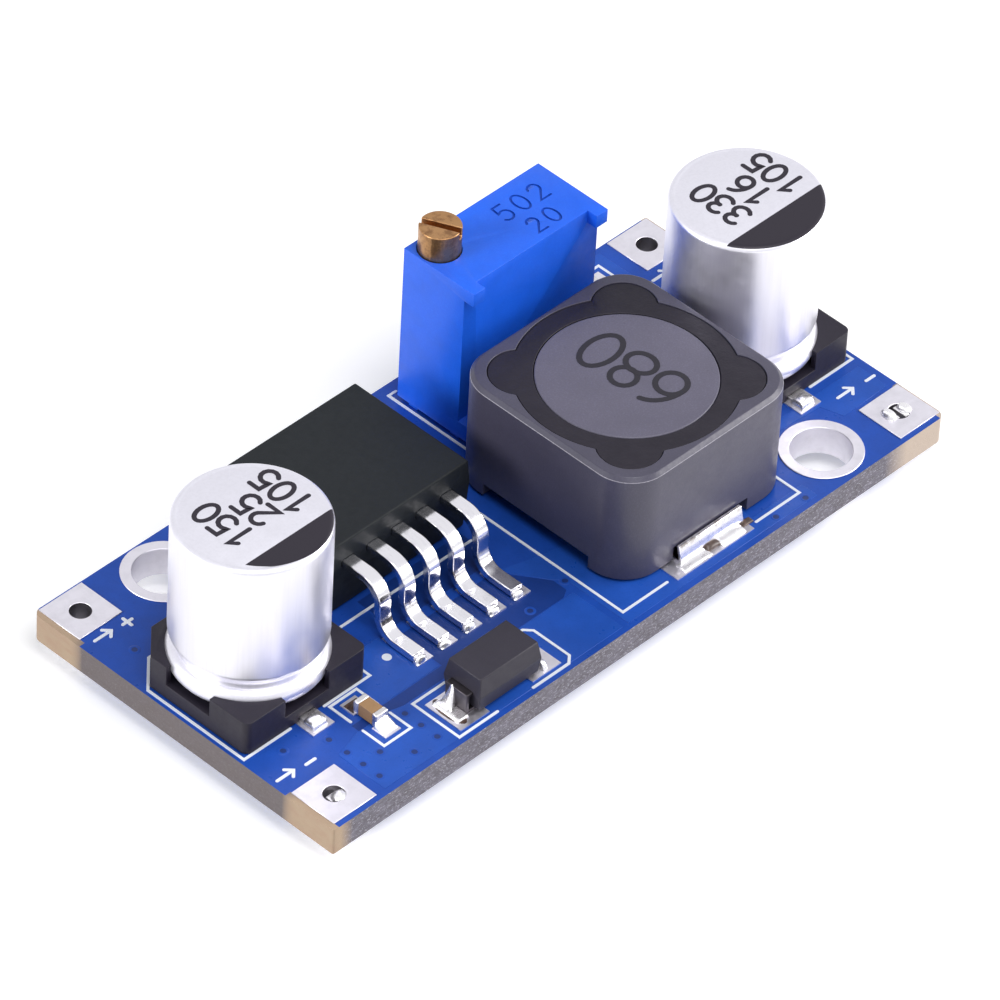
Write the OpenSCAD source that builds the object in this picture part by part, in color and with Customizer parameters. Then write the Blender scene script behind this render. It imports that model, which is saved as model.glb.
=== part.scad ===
// Adjustable step-down converter module: a blue circuit board that carries two can
// capacitors, a five-lead regulator, a shielded inductor, a screw trimmer and small chips.
// Units are millimetres. +Z is up. The origin is the centre of the board's underside.
// +X runs from the input end to the output end, +Y towards the trimmer's long edge.

/* [Board] */
// Board length along X
board_length = 43.4; // [40:0.1:48]
// Board width along Y
board_width = 20.8; // [20.4:0.1:24]
// Board thickness
board_thickness = 1.6; // [1.0:0.1:2.4]
// Radius of the two corners that were rounded before the board left its panel
board_corner_radius = 0.5; // [0.3:0.1:1.0]
// Radius of the two corners that were snapped off the panel
board_snap_radius = 0.12; // [0.05:0.01:0.25]
// Copper and tin height above the board surface
pad_height = 0.07; // [0.04:0.01:0.12]
// Shift of the printed copper artwork along X from the board's centre
artwork_shift_x = 0.1; // [-0.1:0.05:0.2]
// Shift of the printed copper artwork along Y from the board's centre
artwork_shift_y = 0.1; // [-0.1:0.05:0.15]

/* [Layout] */
// Gap between the input capacitor's base and the input end of the board
input_end_gap = 0.475; // [0.3:0.025:0.6]
// Gap between the input capacitor and the regulator, before the free length is shared out
input_gap = 1.045; // [0.8:0.005:1.3]
// Gap between the regulator and the inductor, before the free length is shared out
middle_gap = 2.11; // [1.8:0.01:2.4]
// Gap between the inductor and the output capacitor, before the free length is shared out
output_gap = 0.505; // [0.4:0.005:0.7]
// Gap between the output capacitor's base and the output end of the board
output_end_gap = 0.525; // [0.3:0.025:0.6]
// Gap between the inductor's pad and the front edge, before the free width is shared out
inductor_edge_gap = 0.79; // [0.6:0.01:0.9]
// Gap between the inductor and the trimmer, before the free width is shared out
trimmer_gap = 0.685; // [0.6:0.005:0.9]
// Gap between the trimmer and the back edge, before the free width is shared out
trimmer_edge_gap = 1.165; // [0.9:0.005:1.4]
// Gap between the regulator's heat tab and the back edge
tab_edge_gap = 0.55; // [0.4:0.05:0.7]
// Distance of the diode's centre from the front edge
diode_edge_distance = 1.95; // [1.8:0.05:2.1]

/* [Wire terminals] */
// Distance of each wire hole from the two board edges beside it
terminal_edge_distance = 1.65; // [1.55:0.05:2.0]
// Side of each square wire terminal pad
terminal_pad_side = 2.9; // [2.2:0.05:2.95]
// Radius of each finished wire hole
terminal_hole_radius = 0.57; // [0.4:0.01:0.75]

/* [Mounting holes] */
// Distance of each mounting hole from the end of the board beside it
mount_end_distance = 6.6; // [6.4:0.05:6.9]
// Distance of each mounting hole from the long edge beside it
mount_side_distance = 2.4; // [2.35:0.05:2.5]
// Radius of each finished mounting hole
mount_hole_radius = 1.6; // [1.3:0.05:1.7]
// Outer radius of the bare ring round each mounting hole
mount_ring_radius = 2.2; // [2.0:0.05:2.25]
// Wall of the metal lining in every plated hole
plating_wall = 0.1; // [0.06:0.01:0.12]
// Gap between a metal lining and the drilled board
plating_gap = 0.03; // [0.02:0.01:0.05]

/* [Can capacitors] */
// Radius of each aluminium can
can_radius = 3.97; // [3.8:0.01:4.05]
// Top of the input capacitor above the board surface
input_can_top = 10.4; // [8:0.1:12]
// Top of the output capacitor above the board surface
output_can_top = 10.7; // [8:0.1:12]
// Underside of each can above the base's own underside
can_seat_height = 1.35; // [1.2:0.05:1.5]
// Height of the rolled rim at the foot of each can
can_rim_height = 1.05; // [0.8:0.05:1.2]
// Depth of the rolled groove above the rim
can_groove_depth = 0.35; // [0.2:0.05:0.5]
// Height of the rolled groove
can_groove_height = 0.35; // [0.3:0.05:0.7]
// Height over which the can's side curves into the groove
can_groove_ease = 0.7; // [0.3:0.05:0.9]
// Rounding at the top edge of each can
can_top_round = 0.3; // [0.2:0.05:0.8]
// Side of each square capacitor base
cap_base_side = 8.15; // [8.1:0.05:8.3]
// Height of the low wall between a base's corner posts
cap_base_plate = 0.85; // [0.6:0.05:1.1]
// Height of a base's corner posts
cap_post_height = 2.0; // [1.8:0.05:2.5]
// Length of a corner post along each side of the base
cap_post_length = 2.6; // [2.2:0.1:3.0]
// Gap between the can and the corner posts
cap_post_gap = 0.06; // [0.04:0.01:0.3]
// Cut at the two corners that mark the positive side
cap_chamfer = 1.5; // [1.0:0.1:1.8]
// Rounding of the other two base corners
cap_corner_radius = 0.4; // [0.2:0.1:0.6]
// Width of a capacitor's flat foot lead
cap_lead_width = 0.95; // [0.7:0.05:1.1]
// Thickness of a capacitor's flat foot lead
cap_lead_thickness = 0.25; // [0.2:0.01:0.3]
// Reach of a foot lead past the side of the base
cap_lead_reach = 0.85; // [0.6:0.05:1.0]
// Shift of the input capacitor from the board's centre line along Y
input_cap_y = 0.1; // [-0.2:0.05:0.3]
// Shift of the output capacitor from the board's centre line along Y
output_cap_y = -0.2; // [-0.4:0.05:0.2]

/* [Regulator] */
// Regulator body width along X
reg_width = 10.2; // [9.8:0.1:10.3]
// Regulator body height above the board surface
reg_height = 4.5; // [4.3:0.05:4.7]
// Regulator body reach at its foot, from the lead side to the tab side
reg_depth = 8.5; // [8.2:0.1:8.8]
// Slope of the tab side of the body, measured at the top
reg_back_slope = 0.55; // [0.3:0.05:0.7]
// How far the regulator sits off its pads along X
reg_pad_shift = 0.18; // [0:0.01:0.2]
// Distance between neighbouring leads
lead_pitch = 1.702; // [1.6:0.001:1.75]
// Width of a lead
lead_width = 0.8; // [0.6:0.05:0.9]
// Thickness of a lead
lead_thickness = 0.43; // [0.36:0.01:0.5]
// Top of a lead where it leaves the body, above the board surface
lead_exit_top = 3.4; // [3.2:0.05:3.5]
// Length of the level part of a lead before its first bend
lead_level_run = 1.25; // [1.0:0.05:1.5]
// Outer radius of a lead's upper bend
lead_upper_bend = 1.4; // [1.1:0.05:1.45]
// Outer radius of a lead's lower bend
lead_lower_bend = 1.43; // [1.1:0.01:1.45]
// Length of the flat foot at the end of a lead
lead_foot = 1.35; // [1.0:0.05:1.5]
// Thickness of the metal heat tab
tab_thickness = 1.27; // [1.1:0.01:1.4]
// Reach of the heat tab past the body
tab_reach = 1.2; // [0.9:0.1:1.3]

/* [Inductor] */
// Side of the square ferrite shield
shield_side = 12.24; // [11.6:0.02:12.3]
// Top of the shield above the board surface
shield_top = 6.8; // [6:0.1:8]
// Corner radius of the shield
shield_corner_radius = 2.2; // [1.8:0.1:2.4]
// Radius of the round opening in the shield
shield_bore_radius = 5.75; // [5.5:0.05:5.78]
// Radius of each rounded corner pocket of the opening
shield_lobe_radius = 1.7; // [1.4:0.05:1.8]
// Distance of each corner pocket from the inductor's centre
shield_lobe_distance = 5.23; // [5.0:0.01:5.3]
// Gap under the shield's corner feet
shield_foot_gap = 0.12; // [0.1:0.01:0.2]
// Height of the raised edge between the feet
shield_notch_height = 0.9; // [0.85:0.01:1.2]
// Width of the raised edge between the feet
shield_notch_width = 7.2; // [6.8:0.1:7.6]
// Width of the notch over each soldered terminal
terminal_notch_width = 5.3; // [5.2:0.1:6]
// Radius of the core's top disc
core_disc_radius = 4.6; // [4.3:0.05:4.9]
// Thickness of the core's two discs
core_disc_thickness = 1.1; // [0.9:0.1:1.3]
// Radius of the core's middle post
core_post_radius = 2.4; // [2:0.1:2.6]
// Outer radius of the wound coil
coil_radius = 4.25; // [3.6:0.05:4.25]
// Depth of the sealing resin below the shield's top
resin_recess = 0.05; // [0.02:0.01:0.25]
// Thickness of the sealing resin ring
resin_thickness = 0.9; // [0.6:0.1:1.2]
// Width of a soldered inductor terminal
coil_terminal_width = 4.5; // [4.2:0.1:4.6]
// How far each terminal sits to one side of its notch's middle
coil_terminal_shift = 0.3; // [0:0.01:0.3]
// Height of a terminal's upright plate above its pad
coil_terminal_rise = 1.03; // [0.95:0.01:1.1]
// How far the foot of the upright plate stands out beyond its top
coil_terminal_lean = 0.2; // [0.1:0.01:0.3]
// Thickness of the inductor's terminal metal
coil_terminal_thickness = 0.22; // [0.18:0.01:0.25]
// Chamfer round the shield's top edge
shield_chamfer = 0.22; // [0.1:0.01:0.4]
// How far the inductor sits off its pads along X
ind_pad_shift_x = 0.68; // [0:0.01:0.7]
// How far the inductor sits off its pads along Y
ind_pad_shift_y = 0.58; // [0:0.01:0.6]

/* [Trimmer] */
// Trimmer housing length along X
trimmer_length = 9.53; // [9.4:0.01:9.6]
// Trimmer housing width along Y
trimmer_width = 4.83; // [4.7:0.01:4.9]
// Top of the trimmer housing above the board surface
trimmer_top = 10.03; // [9.5:0.01:10.5]
// Height of the trimmer housing's stand-off feet
trimmer_standoff = 0.3; // [0.2:0.05:0.4]
// Depth of the recessed long face of the housing
trimmer_recess = 0.62; // [0.4:0.02:0.7]
// Height of the small lugs at the top of the recessed face
trimmer_lug_height = 0.8; // [0.6:0.05:1.0]
// Length of the small lugs at the top of the recessed face
trimmer_lug_length = 0.8; // [0.6:0.05:1.2]
// Height of the ledge at the foot of the recessed face
trimmer_ledge_height = 1.3; // [1.0:0.05:1.5]
// Shift of the trimmer's centre from the inductor's centre along X
trimmer_shift = 0.74; // [0.6:0.01:0.8]
// Radius of the adjusting screw's head
screw_radius = 1.1; // [1.0:0.01:1.15]
// Height of the screw's head above the housing
screw_rise = 1.52; // [1.2:0.01:1.7]
// Distance of the screw's axis from the housing's end
screw_from_end = 1.27; // [1.25:0.01:1.4]
// Distance of the screw's axis from the housing's plain long side
screw_from_side = 1.2; // [1.18:0.01:1.4]
// Width of the screwdriver slot
slot_width = 0.36; // [0.3:0.01:0.6]
// Depth of the screwdriver slot
slot_depth = 0.5; // [0.4:0.05:0.8]
// Direction of the screwdriver slot, in degrees from +X
slot_angle = -65; // [-90:1:90]
// Radius of the screw's lower shaft
screw_shaft_radius = 0.8; // [0.6:0.05:0.9]
// Depth of the screw's head inside the housing
screw_head_depth = 1.5; // [1.2:0.1:2]
// Length of the screw's shaft inside the housing, below the head
screw_shaft_length = 6.0; // [5:0.1:6.4]
// Running gap all round the screw
screw_clearance = 0.05; // [0.02:0.01:0.08]
// Distance between neighbouring trimmer pins
pin_pitch = 2.54; // [2.5:0.01:2.6]
// Radius of a trimmer pin
pin_radius = 0.255; // [0.22:0.005:0.3]
// Gap round a trimmer pin where it enters the housing
pin_gap = 0.03; // [0.02:0.01:0.05]
// Reach of a trimmer pin below the board
pin_reach = 1.0; // [0.8:0.05:1.4]
// Height of the solder cone below the board
solder_cone_height = 0.75; // [0.4:0.05:0.75]
// Radius of the solder cone at the board
solder_cone_radius = 0.8; // [0.7:0.05:0.9]

/* [Diode] */
// Diode body length along X
diode_length = 4.3; // [4.1:0.05:4.4]
// Diode body width along Y
diode_width = 2.5; // [2.3:0.05:2.6]
// Top of the diode above the board surface
diode_top = 2.25; // [2:0.05:2.4]
// Slope of the diode's upper sides, measured at the top
diode_slope = 0.17; // [0.1:0.01:0.3]
// Width of a diode lead
diode_lead_width = 1.45; // [1.2:0.05:1.6]
// Thickness of a diode lead
diode_lead_thickness = 0.2; // [0.15:0.01:0.25]
// Reach of a diode lead past the body
diode_lead_reach = 0.38; // [0.3:0.01:0.5]
// Shift of the diode's centre from the regulator's centre along X
diode_shift = -2.02; // [-2.2:0.01:-1.9]

/* [Chip parts] */
// Length of a chip part
chip_length = 1.6; // [1.5:0.05:1.7]
// Width of a chip part
chip_width = 0.8; // [0.7:0.05:0.85]
// Height of the chip capacitor
chip_cap_height = 0.8; // [0.6:0.05:0.9]
// Height of the chip resistor
chip_res_height = 0.45; // [0.35:0.05:0.55]
// Length of a chip part's metal end
chip_end_length = 0.33; // [0.2:0.01:0.4]
// Step between a chip's metal end and its body
chip_end_step = 0.03; // [0.02:0.01:0.05]
// Shift of the chip capacitor from the input capacitor along X
chip_cap_shift_x = 2.22; // [2.1:0.01:2.3]
// Shift of the chip capacitor from the input capacitor along Y
chip_cap_shift_y = -6.2; // [-6.3:0.05:-6.1]
// Shift of the chip resistor from the output capacitor along X
chip_res_shift_x = -1.9; // [-2.1:0.05:-1.5]
// Distance of the chip resistor's centre from the back edge
chip_res_edge_distance = 1.85; // [1.8:0.05:2.2]

/* [Hidden] */
$fn = 64;
eps = 0.01;
ground = board_thickness;
seat = board_thickness + pad_height;

half_l = board_length / 2;
half_w = board_width / 2;

// wire terminal and mounting hole centres
term_dx = half_l - terminal_edge_distance;
term_dy = half_w - terminal_edge_distance;
mount_dx = half_l - mount_end_distance;
mount_dy = half_w - mount_side_distance;

// the parts stand in a row along X, and share out what is left of the board's length
row_free = board_length - input_end_gap - output_end_gap - 2 * cap_base_side - reg_width
           - shield_side;
row_spread = row_free / (input_gap + middle_gap + output_gap);
input_cap_x = -half_l + input_end_gap + cap_base_side / 2;
output_cap_x = half_l - output_end_gap - cap_base_side / 2;
reg_x = input_cap_x + cap_base_side / 2 + input_gap * row_spread + reg_width / 2;
inductor_x = output_cap_x - cap_base_side / 2 - output_gap * row_spread - shield_side / 2;
trimmer_x = inductor_x + trimmer_shift;
diode_x = reg_x + diode_shift;
chip_cap_x = input_cap_x + chip_cap_shift_x;
chip_res_x = output_cap_x + chip_res_shift_x;

// the inductor and the trimmer share out what is left of the board's width
ind_pad_margin = 0.51;
ind_pad_reach = ind_pad_margin + ind_pad_shift_y;
column_free = board_width - ind_pad_reach - shield_side - trimmer_width;
column_spread = column_free / (inductor_edge_gap + trimmer_gap + trimmer_edge_gap);
inductor_y = -half_w + inductor_edge_gap * column_spread + ind_pad_reach + shield_side / 2;
trimmer_y = half_w - trimmer_edge_gap * column_spread - trimmer_width / 2;
reg_front_y = half_w - tab_edge_gap - tab_reach - reg_depth;
diode_y = -half_w + diode_edge_distance;
chip_cap_y = input_cap_y + chip_cap_shift_y;
chip_res_y = half_w - chip_res_edge_distance;

// regulator
reg_parting = lead_exit_top - lead_thickness / 2;
reg_side_draft = 0.1;
reg_bottom = pad_height + 0.05;
lead_shank = lead_level_run + lead_upper_bend;
foot_start = lead_shank - lead_thickness + lead_lower_bend;
foot_end = foot_start + lead_foot;
reg_pad_x = reg_x + reg_pad_shift;
reg_pad_width = lead_width + 0.15;
reg_pad_start = reg_front_y - lead_shank - 0.1;
reg_pad_end = reg_front_y - foot_end - 0.35;
tab_half = reg_width / 2 - 0.35;
tab_cover = 1;
tab_corner = 0.7;
tab_inner_y = reg_front_y + 3;
tab_outer_y = reg_front_y + reg_depth + tab_reach;
tab_pad_margin = 0.2;

// capacitors
cap_half = cap_base_side / 2;
cap_pad_width = cap_lead_width + 0.5;
cap_lead_inner = 1.1;
cap_pad_inner = 1.6;
cap_pad_outer = cap_half + cap_lead_reach + 0.35;
cap_wire_radius = 0.3;
cap_wire_y = 1.5;

// inductor
shield_half = shield_side / 2;
shield_bottom = pad_height + shield_foot_gap;
core_top = shield_top - 0.05;
core_bottom = pad_height + coil_terminal_thickness;
resin_gap = 0.04;
coil_terminal_top = shield_half + 0.06 + coil_terminal_thickness;
coil_terminal_foot = coil_terminal_top + coil_terminal_lean;
ind_pad_x = inductor_x - ind_pad_shift_x;
ind_pad_y = inductor_y - ind_pad_shift_y;
ind_pad_length = coil_terminal_width + 1;
ind_pad_outer = shield_half + ind_pad_margin;
ind_pad_inner = shield_half - 1.92;

// trimmer
trim_half_l = trimmer_length / 2;
trim_half_w = trimmer_width / 2;
screw_x = trimmer_x - trim_half_l + screw_from_end;
screw_y = trimmer_y + trim_half_w - screw_from_side;
resin_plug_height = 0.8;
resin_plug_margin = 0.6;
pin_hole_radius = 0.42;
pin_pad_radius = 0.85;
pin_seat_depth = 1.6;
trimmer_ledge_length = 1.3;
trimmer_foot_inset_x = 0.55;
trimmer_foot_inset_y = 0.35;

// diode
diode_bottom = pad_height + diode_lead_thickness + 0.03;
diode_mid = 1.2;
diode_pad_width = diode_lead_width + 1;
diode_pad_outer = diode_length / 2 + diode_lead_reach + 0.95;
diode_pad_inner = diode_length / 2 - 0.65;
diode_pad_y = diode_y - 0.1;

// ---------- shared shapes ----------

module block(x0, x1, y0, y1, z0, z1) {
  translate([x0, y0, z0]) cube([x1 - x0, y1 - y0, z1 - z0]);
}

module rounded_square(half_x, half_y, r) {
  union() {
    square([2 * half_x - 2 * r, 2 * half_y], center = true);
    square([2 * half_x, 2 * half_y - 2 * r], center = true);
    for (sx = [-1, 1], sy = [-1, 1])
      translate([sx * (half_x - r), sy * (half_y - r)]) circle(r = r);
  }
}

module hole_positions(dx, dy) {
  for (sx = [-1, 1], sy = [-1, 1])
    translate([artwork_shift_x + sx * dx, artwork_shift_y + sy * dy, 0]) children();
}

// one hole near the output end's front corner, one near the input end's back corner
module mount_positions() {
  for (s = [-1, 1])
    translate([artwork_shift_x + s * mount_dx, artwork_shift_y - s * mount_dy, 0]) children();
}

module pin_positions() {
  for (i = [-1 : 1]) translate([trimmer_x + i * pin_pitch, trimmer_y, 0]) children();
}

// ---------- board ----------

module board_outline() {
  big = board_corner_radius;
  small = board_snap_radius;
  union() {
    square([board_length - 2 * big, board_width], center = true);
    square([board_length, board_width - 2 * big], center = true);
    for (s = [-1, 1]) {
      translate([-s * (half_l - big), s * (half_w - big)]) circle(r = big);
      translate([s * (half_l - small), s * (half_w - small)]) circle(r = small);
      polygon([[s * (half_l - big), s * (half_w - big)], [s * half_l, s * (half_w - big)],
               [s * half_l, s * (half_w - small)],
               [s * (half_l - small), s * (half_w - small)],
               [s * (half_l - small), s * half_w], [s * (half_l - big), s * half_w]]);
    }
  }
}

module circuit_board() {
  color([0.05, 0.2, 0.6])
  difference() {
    linear_extrude(height = board_thickness) board_outline();
    hole_positions(term_dx, term_dy)
      translate([0, 0, -1])
        cylinder(r = terminal_hole_radius + plating_wall + plating_gap, h = board_thickness + 2);
    mount_positions()
      translate([0, 0, -1])
        cylinder(r = mount_hole_radius + plating_wall + plating_gap, h = board_thickness + 2);
    pin_positions()
      translate([0, 0, -1])
        cylinder(r = pin_hole_radius + plating_wall + plating_gap, h = board_thickness + 2);
  }
}

// a lined hole with a square land on both faces
module wire_terminal() {
  difference() {
    union() {
      for (z = [-pad_height, board_thickness])
        block(-terminal_pad_side / 2, terminal_pad_side / 2,
              -terminal_pad_side / 2, terminal_pad_side / 2, z, z + pad_height);
      translate([0, 0, -pad_height])
        cylinder(r = terminal_hole_radius + plating_wall, h = board_thickness + 2 * pad_height);
    }
    translate([0, 0, -1]) cylinder(r = terminal_hole_radius, h = board_thickness + 2);
  }
}

module wire_terminal_pads() {
  color([0.85, 0.84, 0.88]) hole_positions(term_dx, term_dy) wire_terminal();
}

// a lined hole with a round land on both faces
module ringed_hole(hole_r, ring_r) {
  difference() {
    union() {
      for (z = [-pad_height, board_thickness])
        translate([0, 0, z]) cylinder(r = ring_r, h = pad_height);
      translate([0, 0, -pad_height])
        cylinder(r = hole_r + plating_wall, h = board_thickness + 2 * pad_height);
    }
    translate([0, 0, -1]) cylinder(r = hole_r, h = board_thickness + 2);
  }
}

module mounting_hole_rings() {
  color([0.85, 0.84, 0.88])
  mount_positions() ringed_hole(mount_hole_radius, mount_ring_radius);
}

module trimmer_hole_rings() {
  color([0.85, 0.84, 0.88]) pin_positions() ringed_hole(pin_hole_radius, pin_pad_radius);
}

module surface_pads() {
  color([0.85, 0.84, 0.88]) {
    for (c = [[input_cap_x, input_cap_y], [output_cap_x, output_cap_y]], s = [-1, 1])
      translate([c[0], c[1], 0])
        block(-cap_pad_width / 2, cap_pad_width / 2,
              s > 0 ? cap_pad_inner : -cap_pad_outer, s > 0 ? cap_pad_outer : -cap_pad_inner,
              ground, seat);
    for (i = [-2 : 2])
      block(reg_pad_x + i * lead_pitch - reg_pad_width / 2,
            reg_pad_x + i * lead_pitch + reg_pad_width / 2,
            reg_pad_end, reg_pad_start, ground, seat);
    block(reg_pad_x - tab_half - tab_pad_margin, reg_pad_x + tab_half + tab_pad_margin,
          tab_inner_y - tab_pad_margin, tab_outer_y + tab_pad_margin, ground, seat);
    for (s = [-1, 1])
      block(ind_pad_x - ind_pad_length / 2, ind_pad_x + ind_pad_length / 2,
            ind_pad_y + (s > 0 ? ind_pad_inner : -ind_pad_outer),
            ind_pad_y + (s > 0 ? ind_pad_outer : -ind_pad_inner), ground, seat);
    for (s = [-1, 1])
      block(diode_x + (s > 0 ? diode_pad_inner : -diode_pad_outer),
            diode_x + (s > 0 ? diode_pad_outer : -diode_pad_inner),
            diode_pad_y - diode_pad_width / 2, diode_pad_y + diode_pad_width / 2, ground, seat);
    translate([chip_cap_x, chip_cap_y, 0]) rotate([0, 0, 90]) chip_pads();
    translate([chip_res_x, chip_res_y, 0]) chip_pads();
  }
}

module chip_pads() {
  for (s = [-1, 1])
    translate([s * (chip_length / 2 + 0.3), 0, ground + pad_height / 2])
      cube([0.95, chip_width + 0.25, pad_height], center = true);
}

// ---------- can capacitors ----------

module capacitor_can(top) {
  z0 = can_seat_height;
  z1 = z0 + can_rim_height;
  z2 = z1 + can_groove_height;
  height = top - pad_height;
  rim_round = can_groove_depth;
  color([0.86, 0.86, 0.9])
  rotate_extrude()
  difference() {
    union() {
      square([can_radius - can_top_round, height]);
      square([can_radius, height - can_top_round]);
      translate([can_radius - can_top_round, height - can_top_round])
        circle(r = can_top_round);
    }
    // clears everything below the can's underside
    translate([-1, -1]) square([can_radius + 2, z0 + 1]);
    // the rolled groove and the round of the rim below it
    translate([can_radius - can_groove_depth, z1])
      square([can_groove_depth + 1, can_groove_height]);
    translate([can_radius - can_groove_depth, z2])
      polygon([[0, -eps], [0, 0], [can_groove_depth + eps, can_groove_ease],
               [can_groove_depth + eps, -eps]]);
    difference() {
      translate([can_radius - rim_round, z0 - eps])
        square([rim_round + 1, can_rim_height + 2 * eps]);
      for (z = [z0 + rim_round, z1 - rim_round])
        translate([can_radius - rim_round, z]) circle(r = rim_round);
      translate([can_radius - 2 * rim_round, z0 + rim_round])
        square([2 * rim_round, can_rim_height - 2 * rim_round]);
    }
    translate([-2 * can_radius, -1]) square([2 * can_radius, top + 2]);
  }
}

module cap_outline() {
  h = cap_half;
  c = cap_chamfer;
  r = cap_corner_radius;
  union() {
    polygon([[-h + r, -h], [h - r, -h], [h - r, -h + r], [h, -h + r], [h, h - c], [h - c, h],
             [-h + c, h], [-h, h - c], [-h, -h + r], [-h + r, -h + r]]);
    for (s = [-1, 1]) translate([s * (h - r), -h + r]) circle(r = r);
  }
}

module capacitor_base() {
  h = cap_half;
  post = h - cap_post_length;
  color([0.16, 0.14, 0.18])
  difference() {
    union() {
      linear_extrude(height = cap_base_plate) cap_outline();
      cylinder(r = can_radius - 0.6, h = can_seat_height);
      difference() {
        linear_extrude(height = cap_post_height) cap_outline();
        block(-post, post, -h - 1, h + 1, cap_base_plate, cap_post_height + 1);
        block(-h - 1, h + 1, -post, post, cap_base_plate, cap_post_height + 1);
        translate([0, 0, cap_base_plate])
          cylinder(r = can_radius + cap_post_gap, h = cap_post_height);
      }
    }
    // channel for the two flat leads, and the holes their wires rise through
    for (s = [-1, 1])
      block(-cap_lead_width / 2 - 0.05, cap_lead_width / 2 + 0.05,
            s > 0 ? cap_lead_inner - 0.1 : -h - 1, s > 0 ? h + 1 : -cap_lead_inner + 0.1,
            -1, cap_lead_thickness + 0.03);
    for (s = [-1, 1])
      translate([0, s * cap_wire_y, -1])
        cylinder(r = cap_wire_radius + 0.1, h = can_seat_height + 2);
  }
}

module capacitor_leads() {
  color([0.82, 0.82, 0.84])
  for (s = [-1, 1])
    union() {
      block(-cap_lead_width / 2, cap_lead_width / 2,
            s > 0 ? cap_lead_inner : -cap_half - cap_lead_reach,
            s > 0 ? cap_half + cap_lead_reach : -cap_lead_inner, 0, cap_lead_thickness);
      translate([0, s * cap_wire_y, cap_lead_thickness / 2])
        cylinder(r = cap_wire_radius, h = can_seat_height - cap_lead_thickness / 2);
    }
}

module input_capacitor_can() {
  translate([input_cap_x, input_cap_y, seat]) capacitor_can(input_can_top);
}
module input_capacitor_base() { translate([input_cap_x, input_cap_y, seat]) capacitor_base(); }
module input_capacitor_leads() { translate([input_cap_x, input_cap_y, seat]) capacitor_leads(); }
module output_capacitor_can() {
  translate([output_cap_x, output_cap_y, seat]) capacitor_can(output_can_top);
}
module output_capacitor_base() { translate([output_cap_x, output_cap_y, seat]) capacitor_base(); }
module output_capacitor_leads() {
  translate([output_cap_x, output_cap_y, seat]) capacitor_leads();
}

// ---------- regulator ----------

module regulator_body() {
  f = reg_front_y;
  b = reg_front_y + reg_depth;
  hw = reg_width / 2;
  color([0.1, 0.11, 0.12])
  difference() {
    intersection() {
      // side view
      translate([reg_x - hw - 1, 0, ground]) rotate([90, 0, 90]) linear_extrude(height = reg_width + 2)
        polygon([[f + 0.2, reg_bottom], [b, reg_bottom], [b, tab_thickness + 0.2],
                 [b - reg_back_slope, reg_height], [f + 0.1, reg_height], [f, reg_parting]]);
      // end view
      translate([reg_x, b + 1, ground]) rotate([90, 0, 0]) linear_extrude(height = reg_depth + 2)
        polygon([[-hw + reg_side_draft, reg_bottom], [hw - reg_side_draft, reg_bottom],
                 [hw, reg_parting], [hw - reg_side_draft, reg_height],
                 [-hw + reg_side_draft, reg_height], [-hw, reg_parting]]);
    }
    heat_tab_shape();
    for (i = [-2 : 2])
      block(reg_x + i * lead_pitch - lead_width / 2, reg_x + i * lead_pitch + lead_width / 2,
            f - 1, f + 1.2, ground + lead_exit_top - lead_thickness, ground + lead_exit_top);
  }
}

module heat_tab_shape() {
  w = tab_half;
  n = tab_half - tab_cover;
  c = tab_corner;
  y0 = tab_inner_y;
  y1 = tab_outer_y - tab_reach;
  y2 = tab_outer_y;
  translate([reg_x, 0, seat]) linear_extrude(height = tab_thickness)
    polygon([[-n, y0], [n, y0], [n, y1], [w, y1], [w, y2 - c], [w - c, y2],
             [-w + c, y2], [-w, y2 - c], [-w, y1], [-n, y1]]);
}

module regulator_heat_tab() { color([0.78, 0.78, 0.8]) heat_tab_shape(); }

// lead outline seen from the side: distance out from the body, height above the board
module lead_profile() {
  t = lead_thickness;
  u1 = lead_level_run;
  v1 = lead_exit_top - lead_upper_bend;
  v2 = pad_height + lead_lower_bend;
  union() {
    translate([-1.2, lead_exit_top - t]) square([u1 + 1.2, t]);
    translate([u1, v1]) bend(lead_upper_bend, t, 0);
    translate([lead_shank - t, v2]) square([t, v1 - v2]);
    translate([foot_start, v2]) bend(lead_lower_bend, t, 180);
    translate([foot_start, pad_height]) square([lead_foot, t]);
  }
}

// quarter of a ring; turned by the given angle
module bend(r, t, angle) {
  rotate(angle) intersection() {
    difference() {
      circle(r = r);
      circle(r = r - t);
    }
    square([r + 1, r + 1]);
  }
}

module regulator_leads() {
  color([0.85, 0.85, 0.88])
  for (i = [-2 : 2])
    translate([reg_x + i * lead_pitch + lead_width / 2, reg_front_y, ground])
      rotate([90, 0, -90]) linear_extrude(height = lead_width) lead_profile();
}

// ---------- inductor ----------

module shield_opening(gap) {
  union() {
    circle(r = shield_bore_radius - gap);
    for (a = [45 : 90 : 315])
      rotate(a) translate([shield_lobe_distance, 0]) circle(r = shield_lobe_radius - gap);
  }
}

module inductor_shield() {
  h = shield_half;
  n = shield_notch_width / 2;
  color([0.3, 0.3, 0.33])
  translate([inductor_x, inductor_y, ground])
  difference() {
    translate([0, 0, shield_bottom]) linear_extrude(height = shield_top - shield_bottom)
      difference() {
        rounded_square(h, h, shield_corner_radius);
        shield_opening(0);
      }
    for (a = [0 : 90 : 270]) rotate(a) edge_chamfer();
    for (s = [-1, 1])
      block(s > 0 ? h - 3 : -h - 1, s > 0 ? h + 1 : -h + 3, -n, n, 0, shield_notch_height);
    block(-terminal_notch_width / 2, terminal_notch_width / 2, -h - 1, h + 1, 0,
          shield_notch_height + 0.1);
  }
}

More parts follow.
